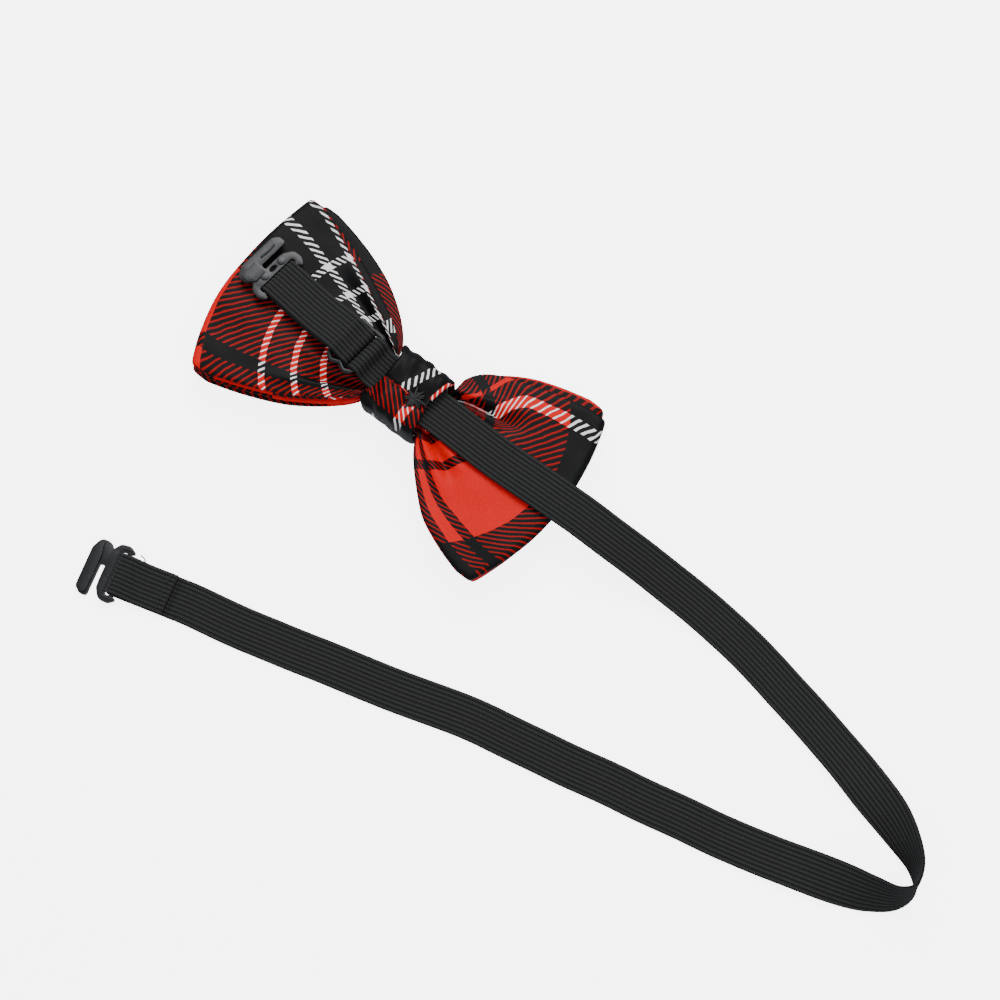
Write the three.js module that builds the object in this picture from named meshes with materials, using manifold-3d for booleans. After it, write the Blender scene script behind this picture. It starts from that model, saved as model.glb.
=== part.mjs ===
// A pre-tied bow tie, lying face down: two stacked bows of folded fabric, a knot wrap,
// a long elastic neck band that ends in a hook, and a short adjustable band with its catch.
// Millimetres, +Z up. The origin is on the floor under the middle of the bow, +X runs along the bow.
import * as THREE from 'three';
import { mergeVertices } from 'three/addons/utils/BufferGeometryUtils.js';
import Module from 'manifold-3d';

const wasm = await Module();
wasm.setup();

// ---------------------------------------------------------------- driving dimensions
const CLEARANCE = 0.3;            // gap that neighbouring pieces keep

const BOW = { length: 125, height: 65, bulge: 6.5 };      // front bow, tip height and outer edge bulge
const BACK_BOW = { length: 121, height: 61, bulge: 6.5 }; // back bow, a little smaller all round
const WAIST_HALF = 7.6;           // half height of the gathered waist
const WAIST_FLARE = 22;           // length over which the gathers open out into the wing
const FLARE = { even: 0.7, evenRise: 0.25, full: 0.38, fullRise: 0.12 };  // outline of a wing; one quarter is fuller
const PLY = 0.4;                  // one ply of bow fabric
const INTERLINING = 0.4;          // stiffener inside each sleeve
const SLEEVE = 2 * PLY + INTERLINING + 2 * CLEARANCE;     // whole thickness of a sleeve
const SEAM_ALLOWANCE = 1.2;       // from the sleeve's edge to its hollow
const SLEEVE_END_GAP = 1.2;       // between the strip's two ends, under the knot
const FRONT_FOLD_RADIUS = 2.1;    // folds at the outer edges, on the sleeve's middle line
const BACK_FOLD_RADIUS = 1.35;

const KNOT = { x: 4.5, y: 1.2, width: 20, halfHeight: 11, wrap: 1.0, lining: 0.5, corner: 3.4, seam: 1.2 };
const SEAM_SLIT = 0.4;            // between the wrap's two ends at the back
const THREAD = 0.5;               // sewing thread, drawn as thick as its stitches stand out
const BINDING = { thread: 0.6, turns: 4, pitch: 1.1 };
const CLOSING = { stitches: 5, pitch: 1.3, reach: 1.8, offset: 5 };

const BAND = { width: 13, thickness: 1.1 };               // ribbed elastic
const ANCHOR_GAP = 1.4;           // between the two bands' ends inside the knot
const TACK = { thread: 0.4, stitches: 8, reach: 1.6 };

const BAR_LENGTH = BAND.width + 1; // room for the band in every hook and slider
const HOOK = {
  thickness: 1.4, bar: 1.2, arm: 2.2, beam: 2.5,
  slot: 2.2, finger: 3.1, bridge: 7.5, blockRise: 0.7, bump: 1.1, bumpRise: 0.5,
};
const SLIDER = { bar: 1.2, frame: 1.6, arm: 1.7, corner: 2.6 };
const STRAP = { yaw: 5.5, pivotGap: 1, rootRun: 4.35, catchReach: 41 };
const NECK_HOOK = { x: -29, y: -94.2, heading: 196, hem: 17, tilt: 7 };  // its finger's tip rests on the floor
const ROLL = { start: 0.37, end: 0.57 };                 // where the neck band turns over, along its length

const COLORS = { tartan: 0xb3231f, backTartan: 0xa82220, lining: 0xe9e4d8, black: 0x1d1d1f, plastic: 0x161617 };

// ---------------------------------------------------------------- heights of the stack
const wrapInner = KNOT.wrap;       // the knot's front rests on the floor
const liningInner = wrapInner + CLEARANCE + KNOT.lining;
const bindingInner = liningInner + CLEARANCE + BINDING.thread;
const leafPitch = SLEEVE + CLEARANCE;
const leafZ = [0, 1, 2, 3].map((n) => bindingInner + CLEARANCE + SLEEVE / 2 + n * leafPitch);
const stackTop = leafZ[3] + SLEEVE / 2;
const bindingOuterTop = stackTop + CLEARANCE + BINDING.thread;
const bandZ = bindingOuterTop + CLEARANCE + BAND.thickness / 2;
const tackZ = bandZ + BAND.thickness / 2 + CLEARANCE + TACK.thread / 2;
const liningTop = tackZ + TACK.thread / 2 + CLEARANCE;
const wrapTop = liningTop + KNOT.lining + CLEARANCE;
const knotTop = wrapTop + KNOT.wrap;

const cornerRoom = 0.2;                                                // between a bar's corners and its elastic
const wrapRadius = HOOK.bar * Math.SQRT1_2 + cornerRoom + BAND.thickness / 2;  // elastic round a bar, middle line
const loopReach = wrapRadius + BAND.thickness / 2;                     // and its outside
const wingTop = stackTop + 0.4;                                        // highest point of the wings
const passUnder = loopReach + CLEARANCE + BAND.thickness / 2;          // bar to a band running under its loop
const sliderZ = wingTop + CLEARANCE + passUnder + BAND.thickness / 2;
const overBar = Math.hypot(SLIDER.bar, SLIDER.frame) / 2 + cornerRoom + BAND.thickness / 2;  // round a side bar
const sliderSide = passUnder + overBar;                                // from the middle bar to a side bar
const catchZ = wingTop + CLEARANCE + loopReach;

// ---------------------------------------------------------------- helpers
const smooth = (t) => { const c = Math.min(1, Math.max(0, t)); return c * c * (3 - 2 * c); };

function toSolid(geometry) {
  const bare = geometry.clone();
  bare.deleteAttribute('normal');
  bare.deleteAttribute('uv');
  const merged = mergeVertices(bare, 1e-4);
  return new wasm.Manifold(new wasm.Mesh({
    numProp: 3,
    vertProperties: new Float32Array(merged.attributes.position.array),
    triVerts: new Uint32Array(merged.index.array),
  }));
}

function toGeometry(solid) {
  const mesh = solid.getMesh();
  const geometry = new THREE.BufferGeometry();
  geometry.setAttribute('position', new THREE.BufferAttribute(new Float32Array(mesh.vertProperties), 3));
  geometry.setIndex(new THREE.BufferAttribute(new Uint32Array(mesh.triVerts), 1));
  return geometry;
}

const join = (first, ...rest) => toGeometry(rest.reduce((sum, g) => sum.add(toSolid(g)), toSolid(first)));
const cut = (body, ...tools) => toGeometry(tools.reduce((left, g) => left.subtract(toSolid(g)), toSolid(body)));

// A strip along X (0..1), Y (-1..1) and Z (-0.5..0.5) whose vertices a function puts in place.
function strip(place, along, across) {
  const geometry = new THREE.BoxGeometry(1, 2, 1, along, across, 1);
  const position = geometry.attributes.position;
  const point = new THREE.Vector3();
  for (let i = 0; i < position.count; i += 1) {
    point.fromBufferAttribute(position, i);
    place(point.x + 0.5, point.y, point.z, point);
    position.setXYZ(i, point.x, point.y, point.z);
  }
  return geometry;
}

// A flat band that follows a curve and stays on or above the floor; sideAt is its width's direction.
function bandAlong(curve, sideAt, width, thickness, steps) {
  const side = new THREE.Vector3();
  const up = new THREE.Vector3();
  return strip((t, v, n, out) => {
    const tangent = curve.getTangentAt(t);
    side.copy(sideAt(t, tangent)).addScaledVector(tangent, -side.dot(tangent)).normalize();
    up.crossVectors(tangent, side).normalize();
    out.copy(curve.getPointAt(t));
    const lowest = out.z - Math.abs(side.z) * width / 2 - Math.abs(up.z) * thickness / 2;
    out.z -= Math.min(0, lowest);
    out.addScaledVector(side, v * width / 2).addScaledVector(up, n * thickness);
  }, steps, 1);
}

// A round thread through a list of points, closed at both ends.
function threadThrough(points, diameter, steps) {
  const section = new THREE.Shape();
  section.absarc(0, 0, diameter / 2, 0, Math.PI * 2);
  const path = new THREE.CatmullRomCurve3(points, false, 'centripetal');
  return new THREE.ExtrudeGeometry(section, { steps, curveSegments: 3, bevelEnabled: false, extrudePath: path });
}

// Points of a circular arc, both ends included.
function arc(x, y, radius, from, to, segments) {
  return Array.from({ length: segments + 1 }, (_, i) => {
    const angle = from + (to - from) * i / segments;
    return new THREE.Vector2(x + radius * Math.cos(angle), y + radius * Math.sin(angle));
  });
}

const corner = (x, y) => new THREE.Vector2(x, y);

// An outline without the doubled points that a line and an arc share.
function outline(points, Kind = THREE.Shape) {
  const far = (p, q) => p.distanceTo(q) > 1e-3;
  const kept = points.filter((p, i) => far(p, points[(i + 1) % points.length]));
  return new Kind(kept);
}

function roundedRectangle(halfWidth, halfHeight, radius, Kind = THREE.Shape) {
  const [w, h] = [halfWidth - radius, halfHeight - radius];
  const turn = Math.PI / 2;
  return outline([[w, h], [-w, h], [-w, -h], [w, -h]].flatMap(([x, y], i) => (
    arc(x, y, radius, i * turn, (i + 1) * turn, 5))), Kind);
}

const materials = {
  tartan: new THREE.MeshStandardMaterial({ color: COLORS.tartan, roughness: 0.6, metalness: 0 }),
  backTartan: new THREE.MeshStandardMaterial({ color: COLORS.backTartan, roughness: 0.6, metalness: 0 }),
  lining: new THREE.MeshStandardMaterial({ color: COLORS.lining, roughness: 0.9, metalness: 0 }),
  black: new THREE.MeshStandardMaterial({ color: COLORS.black, roughness: 0.85, metalness: 0 }),
  plastic: new THREE.MeshStandardMaterial({ color: COLORS.plastic, roughness: 0.4, metalness: 0 }),
};

const tie = new THREE.Group();
function addPiece(name, geometry, material, parent = tie) {
  const mesh = new THREE.Mesh(geometry, material);
  mesh.name = name;
  parent.add(mesh);
  return mesh;
}

// ---------------------------------------------------------------- the two bows
// Each bow is a sleeve folded into a flat loop: out along the upper leaf, round the outer fold, back
// along the lower leaf, and the same on the other side. Its ends meet under the knot.
function bowLoop(size, lowerZ, upperZ, foldRadius, wingMiddle) {
  const stations = [];
  const leafSteps = 8;
  const foldSteps = 4;
  const reach = (side) => side * size.length / 2 - side * (foldRadius + SLEEVE / 2);
  const leafHeight = (x, waistZ, wingZ) => {
    const away = Math.abs(x - KNOT.x) - KNOT.width / 2 - CLEARANCE;
    return waistZ + (wingZ - waistZ) * smooth(away / WAIST_FLARE);
  };
  const leaf = (from, to, waistZ, wingZ) => {
    for (let i = 0; i <= leafSteps; i += 1) {
      const x = from + (to - from) * i / leafSteps;
      stations.push([x, leafHeight(x, waistZ, wingZ)]);
    }
  };
  const fold = (centre, startAngle) => {
    for (let i = 1; i < foldSteps; i += 1) {
      const angle = startAngle - Math.PI * i / foldSteps;
      stations.push([centre + foldRadius * Math.cos(angle), wingMiddle + foldRadius * Math.sin(angle)]);
    }
  };
  const [wingUpper, wingLower] = [wingMiddle + foldRadius, wingMiddle - foldRadius];
  const edge = (side) => KNOT.x + side * (KNOT.width / 2 + CLEARANCE);
  stations.push([KNOT.x + SLEEVE_END_GAP / 2, upperZ]);
  leaf(edge(1), reach(1), upperZ, wingUpper);
  fold(reach(1), Math.PI / 2);
  leaf(reach(1), edge(1), lowerZ, wingLower);
  leaf(edge(-1), reach(-1), lowerZ, wingLower);
  fold(reach(-1), Math.PI * 1.5);
  leaf(reach(-1), edge(-1), upperZ, wingUpper);
  stations.push([KNOT.x - SLEEVE_END_GAP / 2, upperZ]);
  return stations;
}

function sleevePiece(size, stations, thickness, inset, overrun) {
  const last = stations.length - 1;
  const halfHeight = (x, v) => {
    const away = Math.abs(x - KNOT.x) - KNOT.width / 2 - CLEARANCE;
    const reach = (x < KNOT.x ? KNOT.x : -KNOT.x) + size.length / 2 - size.bulge - KNOT.width / 2;
    const spread = Math.min(1, Math.max(0, away / reach));
    const full = x > KNOT.x && v > 0;
    const [power, rise] = full ? [FLARE.full, FLARE.fullRise] : [FLARE.even, FLARE.evenRise];
    const opened = Math.pow(spread, power) * (1 + rise * (1 - spread));
    return WAIST_HALF + (size.height / 2 - WAIST_HALF) * Math.min(1, opened);
  };
  const place = (t, v, n, out) => {
    const index = Math.min(last, Math.round(t * last));
    const [x, z] = stations[index];
    const before = stations[Math.max(0, index - 1)];
    const after = stations[Math.min(last, index + 1)];
    const tangent = new THREE.Vector2(after[0] - before[0], after[1] - before[1]).normalize();
    const stretch = index === 0 ? -overrun : (index === last ? overrun : 0);
    const px = x + tangent.x * stretch - tangent.y * n * thickness;
    const pz = z + tangent.y * stretch + tangent.x * n * thickness;
    const opened = smooth((Math.abs(x - KNOT.x) - KNOT.width / 2 - CLEARANCE) / WAIST_FLARE);
    const height = halfHeight(x, v);
    const share = v * (height - inset) / height;
    const narrow = 1 - (2 * size.bulge / size.length) * share * share * opened;
    out.set(KNOT.x + (px - KNOT.x) * narrow, KNOT.y * (1 - opened) + share * height, pz);
  };
  return strip(place, last, 6);
}

function addBow(name, size, lowerZ, upperZ, foldRadius, wingMiddle, material) {
  const stations = bowLoop(size, lowerZ, upperZ, foldRadius, wingMiddle);
  const hollow = SLEEVE - 2 * PLY;
  addPiece(`${name}_cover`, cut(
    sleevePiece(size, stations, SLEEVE, 0, 0),
    sleevePiece(size, stations, hollow, SEAM_ALLOWANCE, SLEEVE_END_GAP / 3),
  ), material);
  const insert = sleevePiece(size, stations, INTERLINING, SEAM_ALLOWANCE + CLEARANCE, -CLEARANCE);
  addPiece(`${name}_interlining`, insert, materials.lining);
}

const frontMiddle = FRONT_FOLD_RADIUS + SLEEVE / 2 + 0.6;
const backMiddle = wingTop - SLEEVE / 2 - BACK_FOLD_RADIUS;
addBow('front_bow', BOW, leafZ[0], leafZ[1], FRONT_FOLD_RADIUS, frontMiddle, materials.tartan);
addBow('back_bow', BACK_BOW, leafZ[2], leafZ[3], BACK_FOLD_RADIUS, backMiddle, materials.backTartan);

// ---------------------------------------------------------------- the knot
// The wrap, its lining and the binding thread all go round the waist, in the YZ plane.
function ringRound(outerHalf, wall, bottom, top, radius) {
  const shape = roundedRectangle(outerHalf, (top - bottom) / 2, radius);
  shape.holes.push(roundedRectangle(outerHalf - wall, (top - bottom) / 2 - wall, radius - wall, THREE.Path));
  const geometry = new THREE.ExtrudeGeometry(shape, { depth: KNOT.width, bevelEnabled: false });
  geometry.translate(0, 0, -KNOT.width / 2);
  geometry.applyMatrix4(new THREE.Matrix4().makeBasis(
    new THREE.Vector3(0, 1, 0), new THREE.Vector3(0, 0, 1), new THREE.Vector3(1, 0, 0)));
  return geometry.translate(KNOT.x, KNOT.y, (bottom + top) / 2);
}

// The wrap's two ends meet in a seam along the back of the knot.
function openSeam(ring, top) {
  const slit = new THREE.BoxGeometry(KNOT.width + 4, SEAM_SLIT, 2 * KNOT.wrap + 2);
  return cut(ring, slit.translate(KNOT.x, KNOT.y + KNOT.seam, top));
}

addPiece('knot_wrap', openSeam(ringRound(KNOT.halfHeight, KNOT.wrap, 0, knotTop, KNOT.corner), knotTop),
  materials.tartan);
const liningInset = KNOT.wrap + CLEARANCE;
addPiece('knot_wrap_interlining', ringRound(KNOT.halfHeight - liningInset, KNOT.lining, wrapInner + CLEARANCE,
  liningTop + KNOT.lining, KNOT.corner - liningInset), materials.lining);

function bindingThread() {
  const [low, high] = [bindingInner - BINDING.thread / 2, stackTop + CLEARANCE + BINDING.thread / 2];
  const half = WAIST_HALF + CLEARANCE + BINDING.thread / 2 + 0.15;
  const turn = 0.5;
  const lap = [[half - turn, high], [0, high], [-half + turn, high], [-half, high - turn], [-half, low + turn],
    [-half + turn, low], [0, low], [half - turn, low], [half, low + turn], [half, high - turn]];
  const points = [];
  for (let i = 0; i <= BINDING.turns * lap.length; i += 1) {
    const [y, z] = lap[i % lap.length];
    const x = KNOT.x + BINDING.pitch * (i / lap.length - BINDING.turns / 2);
    points.push(new THREE.Vector3(x, KNOT.y + y, z));
  }
  return threadThrough(points, BINDING.thread, BINDING.turns * lap.length * 2);
}
addPiece('waist_binding_thread', bindingThread(), materials.black);

// A row of overcast stitches over the wrap's seam, in one length of thread.
function zigzag(x, y, z, stitches, pitch, reach, diameter) {
  const points = [];
  for (let i = 0; i <= stitches; i += 1) {
    const across = i % 2 === 0 ? -reach : reach;
    points.push(new THREE.Vector3(x + pitch * (i - stitches / 2), y + across, z));
  }
  return threadThrough(points, diameter, stitches * 3);
}
const closingZ = knotTop + CLEARANCE + THREAD / 2;
addPiece('knot_closing_stitches', zigzag(KNOT.x + CLOSING.offset, KNOT.y + KNOT.seam, closingZ, CLOSING.stitches, CLOSING.pitch,
  CLOSING.reach, THREAD), materials.black);

// ---------------------------------------------------------------- the long neck band
const point = (x, y, z) => new THREE.Vector3(x, y, z);
const FLAT = BAND.thickness / 2;
// Middle line of the band: over the right wing, down to the floor, round the turn and back to the hook.
const NECK_ROUTE = [
  point(KNOT.x + ANCHOR_GAP, KNOT.y, bandZ), point(12, 1.2, bandZ), point(20, 1.2, bandZ), point(38, 1.1, bandZ - 0.2),
  point(56, 1.6, bandZ - 0.2), point(70, 2.4, bandZ - 1.6), point(84, 3.2, 8.2), point(99, 3.9, 4.2),
  point(116, 3.8, 1.6), point(134, 1.9, FLAT + 0.2), point(152, -1.4, FLAT + 0.2), point(170, -5.6, 1.6),
  point(186, -10.2, 3.4), point(199, -15.2, 5.2), point(207.5, -20.4, 6.4), point(210.5, -25.6, 6.9),
  point(208.2, -30.4, 6.4), point(201, -34.4, 5), point(190, -37.8, 3.2), point(176, -41.8, 1.6),
  point(160, -46.2, FLAT + 0.2), point(143, -50, FLAT), point(122, -54.6, FLAT), point(100, -59.7, FLAT),
  point(78, -64.4, FLAT), point(56, -71.2, FLAT), point(33, -77.6, FLAT), point(10, -84, FLAT),
];
const heading = THREE.MathUtils.degToRad(NECK_HOOK.heading);
const along = (distance, z) => point(NECK_HOOK.x - Math.cos(heading) * distance,
  NECK_HOOK.y - Math.sin(heading) * distance, z);
const hookBarZ = loopReach;
const neckCurve = new THREE.CatmullRomCurve3([
  ...NECK_ROUTE, along(NECK_HOOK.hem + 4, FLAT), along(NECK_HOOK.hem, FLAT + 0.1)], false, 'centripetal');
const level = new THREE.Vector3();
function neckSide(t, tangent) {
  const roll = Math.PI * smooth((t - ROLL.start) / (ROLL.end - ROLL.start));
  level.set(-tangent.y, tangent.x, 0).normalize();
  const up = new THREE.Vector3().crossVectors(tangent, level).normalize();
  return level.clone().multiplyScalar(Math.cos(roll)).addScaledVector(up, Math.sin(roll));
}
addPiece('neck_band', bandAlong(neckCurve, neckSide, BAND.width, BAND.thickness, 66), materials.black);

// The hem: the band's end goes on along the floor, up round the hook's bar and back over itself.
function loopRound(centre, outward, radius, backLow, backHigh, upperRun) {
  const points = [];
  points.push(centre.clone().addScaledVector(outward, -backLow).setZ(FLAT));
  points.push(centre.clone().addScaledVector(outward, -radius - 2).setZ(FLAT));
  for (let i = 0; i <= 6; i += 1) {
    const angle = -Math.PI / 2 + Math.PI * i / 6;
    const p = centre.clone().addScaledVector(outward, radius * Math.cos(angle));
    points.push(p.setZ(centre.z + radius * Math.sin(angle)));
  }
  points.push(centre.clone().addScaledVector(outward, -radius).setZ(centre.z + radius - 0.1));
  points.push(centre.clone().addScaledVector(outward, -radius - 5).setZ(upperRun));
  points.push(centre.clone().addScaledVector(outward, -backHigh).setZ(upperRun));
  return new THREE.CatmullRomCurve3(points, false, 'centripetal');
}
const neckOut = new THREE.Vector3(Math.cos(heading), Math.sin(heading), 0);
const neckAcross = new THREE.Vector3(-Math.sin(heading), Math.cos(heading), 0);
const neckBar = point(NECK_HOOK.x, NECK_HOOK.y, hookBarZ);
const hemTop = FLAT + BAND.thickness + CLEARANCE;
const hemCurve = loopRound(neckBar, neckOut, wrapRadius, NECK_HOOK.hem - CLEARANCE, NECK_HOOK.hem - 1, hemTop);
addPiece('neck_band_hem', bandAlong(hemCurve, () => neckAcross, BAND.width, BAND.thickness, 24), materials.black);

function crossStitches(centre, outward, across, z, diameter, stitches, reach = 0.3) {
  const points = [];
  const span = BAND.width - 2;
  for (let i = 0; i <= stitches; i += 1) {
    const p = centre.clone().addScaledVector(across, span * (i / stitches - 0.5));
    p.addScaledVector(outward, i % 2 === 0 ? -reach : reach);
    points.push(p.setZ(z));
  }
  return threadThrough(points, diameter, stitches * 2);
}
const hemStitchAt = neckBar.clone().addScaledVector(neckOut, -NECK_HOOK.hem + 3.2);
addPiece('neck_band_hem_stitches', crossStitches(hemStitchAt, neckOut, neckAcross,
  hemTop + BAND.thickness / 2 + CLEARANCE + THREAD / 2, THREAD, 8), materials.black);

// ---------------------------------------------------------------- hook and catch
// Outline in its own plane: the bar lies along Y at X = 0, the finger is beyond the slot, and hand says
// at which end the bridge joins them.
function hookOutline(hand) {
  const windowEdge = loopReach + CLEARANCE;
  const beamOuter = windowEdge + HOOK.beam;
  const fingerInner = beamOuter + HOOK.slot;
  const fingerOuter = fingerInner + HOOK.finger;
  const half = BAR_LENGTH / 2 + HOOK.arm;
  const back = -HOOK.bar / 2 - 0.9;
  const r = HOOK.arm * 0.8;
  const tip = HOOK.finger / 2;
  const barHalf = BAR_LENGTH / 2;
  const notchHalf = barHalf - CLEARANCE;
  const turn = Math.PI / 2;
  const onHand = (points) => points.map((p) => corner(p.x, hand * p.y));
  const shape = outline(onHand([
    ...arc(beamOuter - r, -half + r, r, -turn, 0, 4),
    corner(beamOuter, half - HOOK.bridge), corner(fingerInner, half - HOOK.bridge),
    ...arc(fingerInner + tip, -half + tip, tip, 2 * turn, 4 * turn, 6),
    ...arc(fingerOuter - r, half - r, r, 0, turn, 4),
    ...arc(back + r, half - r, r, turn, 2 * turn, 4),
    corner(back, notchHalf), corner(-HOOK.bar / 2, notchHalf),
    corner(-HOOK.bar / 2, -notchHalf), corner(back, -notchHalf),
    ...arc(back + r, -half + r, r, 2 * turn, 3 * turn, 4),
  ]));
  shape.holes.push(outline([
    corner(HOOK.bar / 2, -barHalf), corner(windowEdge, -barHalf),
    corner(windowEdge, barHalf), corner(HOOK.bar / 2, barHalf),
  ], THREE.Path));
  return { shape, windowEdge, beamOuter, fingerInner, fingerOuter, half };
}

function hookPlate(hand, withBumps) {
  const { shape, windowEdge, beamOuter, fingerInner, fingerOuter, half } = hookOutline(hand);
  const plate = new THREE.ExtrudeGeometry(shape, { depth: HOOK.thickness, curveSegments: 5, bevelEnabled: false });
  plate.translate(0, 0, -HOOK.thickness / 2);
  const rise = HOOK.thickness / 2 + HOOK.blockRise / 2;
  const blockWidth = fingerInner - beamOuter + 1.6;
  const block = new THREE.BoxGeometry(blockWidth, HOOK.bridge - 1, HOOK.blockRise + 0.4);
  block.translate((beamOuter + fingerInner) / 2, hand * (half - HOOK.bridge / 2), rise - 0.2);
  const rib = new THREE.BoxGeometry(0.9, 2 * half - 4, HOOK.blockRise + 0.4);
  rib.translate((fingerInner + fingerOuter) / 2, 0, rise - 0.2);
  if (!withBumps) return join(plate, block, rib);
  const beamMiddle = (windowEdge + beamOuter) / 2;
  const bumps = [-1, 1].map((side) => {
    const bump = new THREE.CylinderGeometry(HOOK.bump, HOOK.bump, HOOK.bumpRise + 0.4, 14);
    bump.rotateX(Math.PI / 2);
    bump.translate(beamMiddle, side * 3.5, HOOK.thickness / 2 + HOOK.bumpRise / 2 - 0.2);
    return bump;
  });
  const eye = new THREE.CylinderGeometry(0.7, 0.7, HOOK.thickness + 2, 14);
  eye.rotateX(Math.PI / 2);
  eye.scale(1, 1.5, 1);
  eye.translate(beamMiddle, 0, 0);
  return cut(join(plate, block, rib, ...bumps), eye);
}

const neckHook = addPiece('neck_hook', hookPlate(-1, false), materials.plastic);
neckHook.position.copy(neckBar);
neckHook.rotation.set(0, THREE.MathUtils.degToRad(NECK_HOOK.tilt), heading, 'ZYX');

// ---------------------------------------------------------------- the short adjustable band
// It leaves the knot to the left, goes over the slider's near bar, under its middle bar, over its far
// bar and out to the catch, round the catch's bar and back on top to the middle bar, where it is sewn.
const strapPivot = point(KNOT.x - KNOT.width / 2 - STRAP.pivotGap, KNOT.y, bandZ);
const strap = new THREE.Group();
strap.rotation.z = -THREE.MathUtils.degToRad(STRAP.yaw);
strap.position.set(strapPivot.x, strapPivot.y, 0);
tie.add(strap);
const strapAcross = new THREE.Vector3(0, 1, 0);
const across = () => strapAcross;
const flatCurve = (pairs) => new THREE.CatmullRomCurve3(pairs.map(([x, z]) => point(x, 0, z)), false, 'centripetal');
function strapRun(name, pairs, steps) {
  return addPiece(name, bandAlong(flatCurve(pairs), across, BAND.width, BAND.thickness, steps), materials.black, strap);
}

const anchorCurve = new THREE.CatmullRomCurve3([
  point(KNOT.x - ANCHOR_GAP, KNOT.y, bandZ), point(strapPivot.x + 0.8, KNOT.y, bandZ)], false, 'centripetal');
addPiece('adjuster_band_anchor', bandAlong(anchorCurve, across, BAND.width, BAND.thickness, 2), materials.black);

const nearBar = -STRAP.rootRun;
const sx = nearBar - sliderSide;
const farBar = sx - sliderSide;
const cx = -STRAP.catchReach;
const degree = Math.PI / 180;
const roundBar = (x, z, radius, from, to, segments) => (
  arc(x, z, radius, from * degree, to * degree, segments).map((p) => [p.x, p.y]));

strapRun('adjuster_band_root_run',
  [[-0.5, bandZ], [nearBar + 2.35, bandZ + 0.8], ...roundBar(nearBar, sliderZ, overBar, 50, 170, 4)], 12);
strapRun('adjuster_band_under_bar', roundBar(sx, sliderZ, passUnder, -8, -172, 8), 16);
strapRun('adjuster_band_lower_run', [...roundBar(farBar, sliderZ, overBar, 10, 130, 4),
  [farBar - 9, catchZ - wrapRadius + 0.6], [farBar - 15, catchZ - wrapRadius + 0.1],
  [cx + 2.9, catchZ - wrapRadius]], 20);
const upperClear = sliderZ + overBar + BAND.thickness + CLEARANCE;
strapRun('adjuster_band_upper_run', [[cx + 2.9, catchZ + wrapRadius], [farBar - 10, catchZ + wrapRadius + 0.6],
  [farBar - 1.5, upperClear - 0.1], [farBar + 0.8, upperClear - 0.1]], 14);

// The end bend goes round the catch's bar; the sewn end goes round the slider's middle bar.
strapRun('adjuster_band_end_bend', [[cx + 2.5, catchZ - wrapRadius],
  ...roundBar(cx, catchZ, wrapRadius, -90, -270, 8), [cx + 2.5, catchZ + wrapRadius]], 16);
strapRun('adjuster_band_sewn_end', [[farBar + 1.25, upperClear - 0.3],
  ...roundBar(sx, sliderZ, wrapRadius, 105, -160, 10)], 18);
const sewnStitchZ = upperClear + BAND.thickness / 2 + CLEARANCE + THREAD / 2;
addPiece('adjuster_band_end_stitches', crossStitches(point(farBar, 0, 0),
  new THREE.Vector3(1, 0, 0), strapAcross, sewnStitchZ, THREAD, 8), materials.black, strap);

function slideAdjuster() {
  const halfX = sliderSide + SLIDER.frame / 2;
  const halfY = BAR_LENGTH / 2 + SLIDER.arm;
  const shape = roundedRectangle(halfX, halfY, SLIDER.corner);
  const plate = new THREE.ExtrudeGeometry(shape, { depth: SLIDER.bar, bevelEnabled: false });
  plate.translate(0, 0, -SLIDER.bar / 2);
  const slotWidth = sliderSide - SLIDER.frame / 2 - SLIDER.bar / 2;
  const slots = [-1, 1].map((side) => {
    const slot = new THREE.BoxGeometry(slotWidth, BAR_LENGTH, SLIDER.bar + 2);
    return slot.translate(side * (SLIDER.bar + slotWidth) / 2, 0, 0);
  });
  return cut(plate, ...slots);
}
addPiece('slide_adjuster', slideAdjuster(), materials.plastic, strap).position.set(sx, 0, sliderZ);

const catchPiece = addPiece('adjuster_catch', hookPlate(1, true), materials.plastic, strap);
catchPiece.position.set(cx, 0, catchZ);
catchPiece.rotation.z = Math.PI;

// One thread that tacks both bands' ends down inside the knot.
addPiece('band_anchor_stitches', crossStitches(point(KNOT.x, KNOT.y, 0), new THREE.Vector3(1, 0, 0),
  strapAcross, tackZ, TACK.thread, TACK.stitches, TACK.reach), materials.black);

export default tie;
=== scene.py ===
"""A pre-tied tartan bow tie that lies face down, with its neck band laid out beside it.

Two stacked bows of folded fabric, a knot wrap, a long ribbed elastic neck band with its hook, and a short
adjuster band with a slider and a catch. Shapes are worked out in millimetres and written in metres.
"""

import logging
import math
from dataclasses import dataclass, field
from enum import Enum
from functools import partial
from typing import Callable, Optional, Sequence

import bmesh
import bpy
from mathutils import Matrix, Vector, noise


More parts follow.
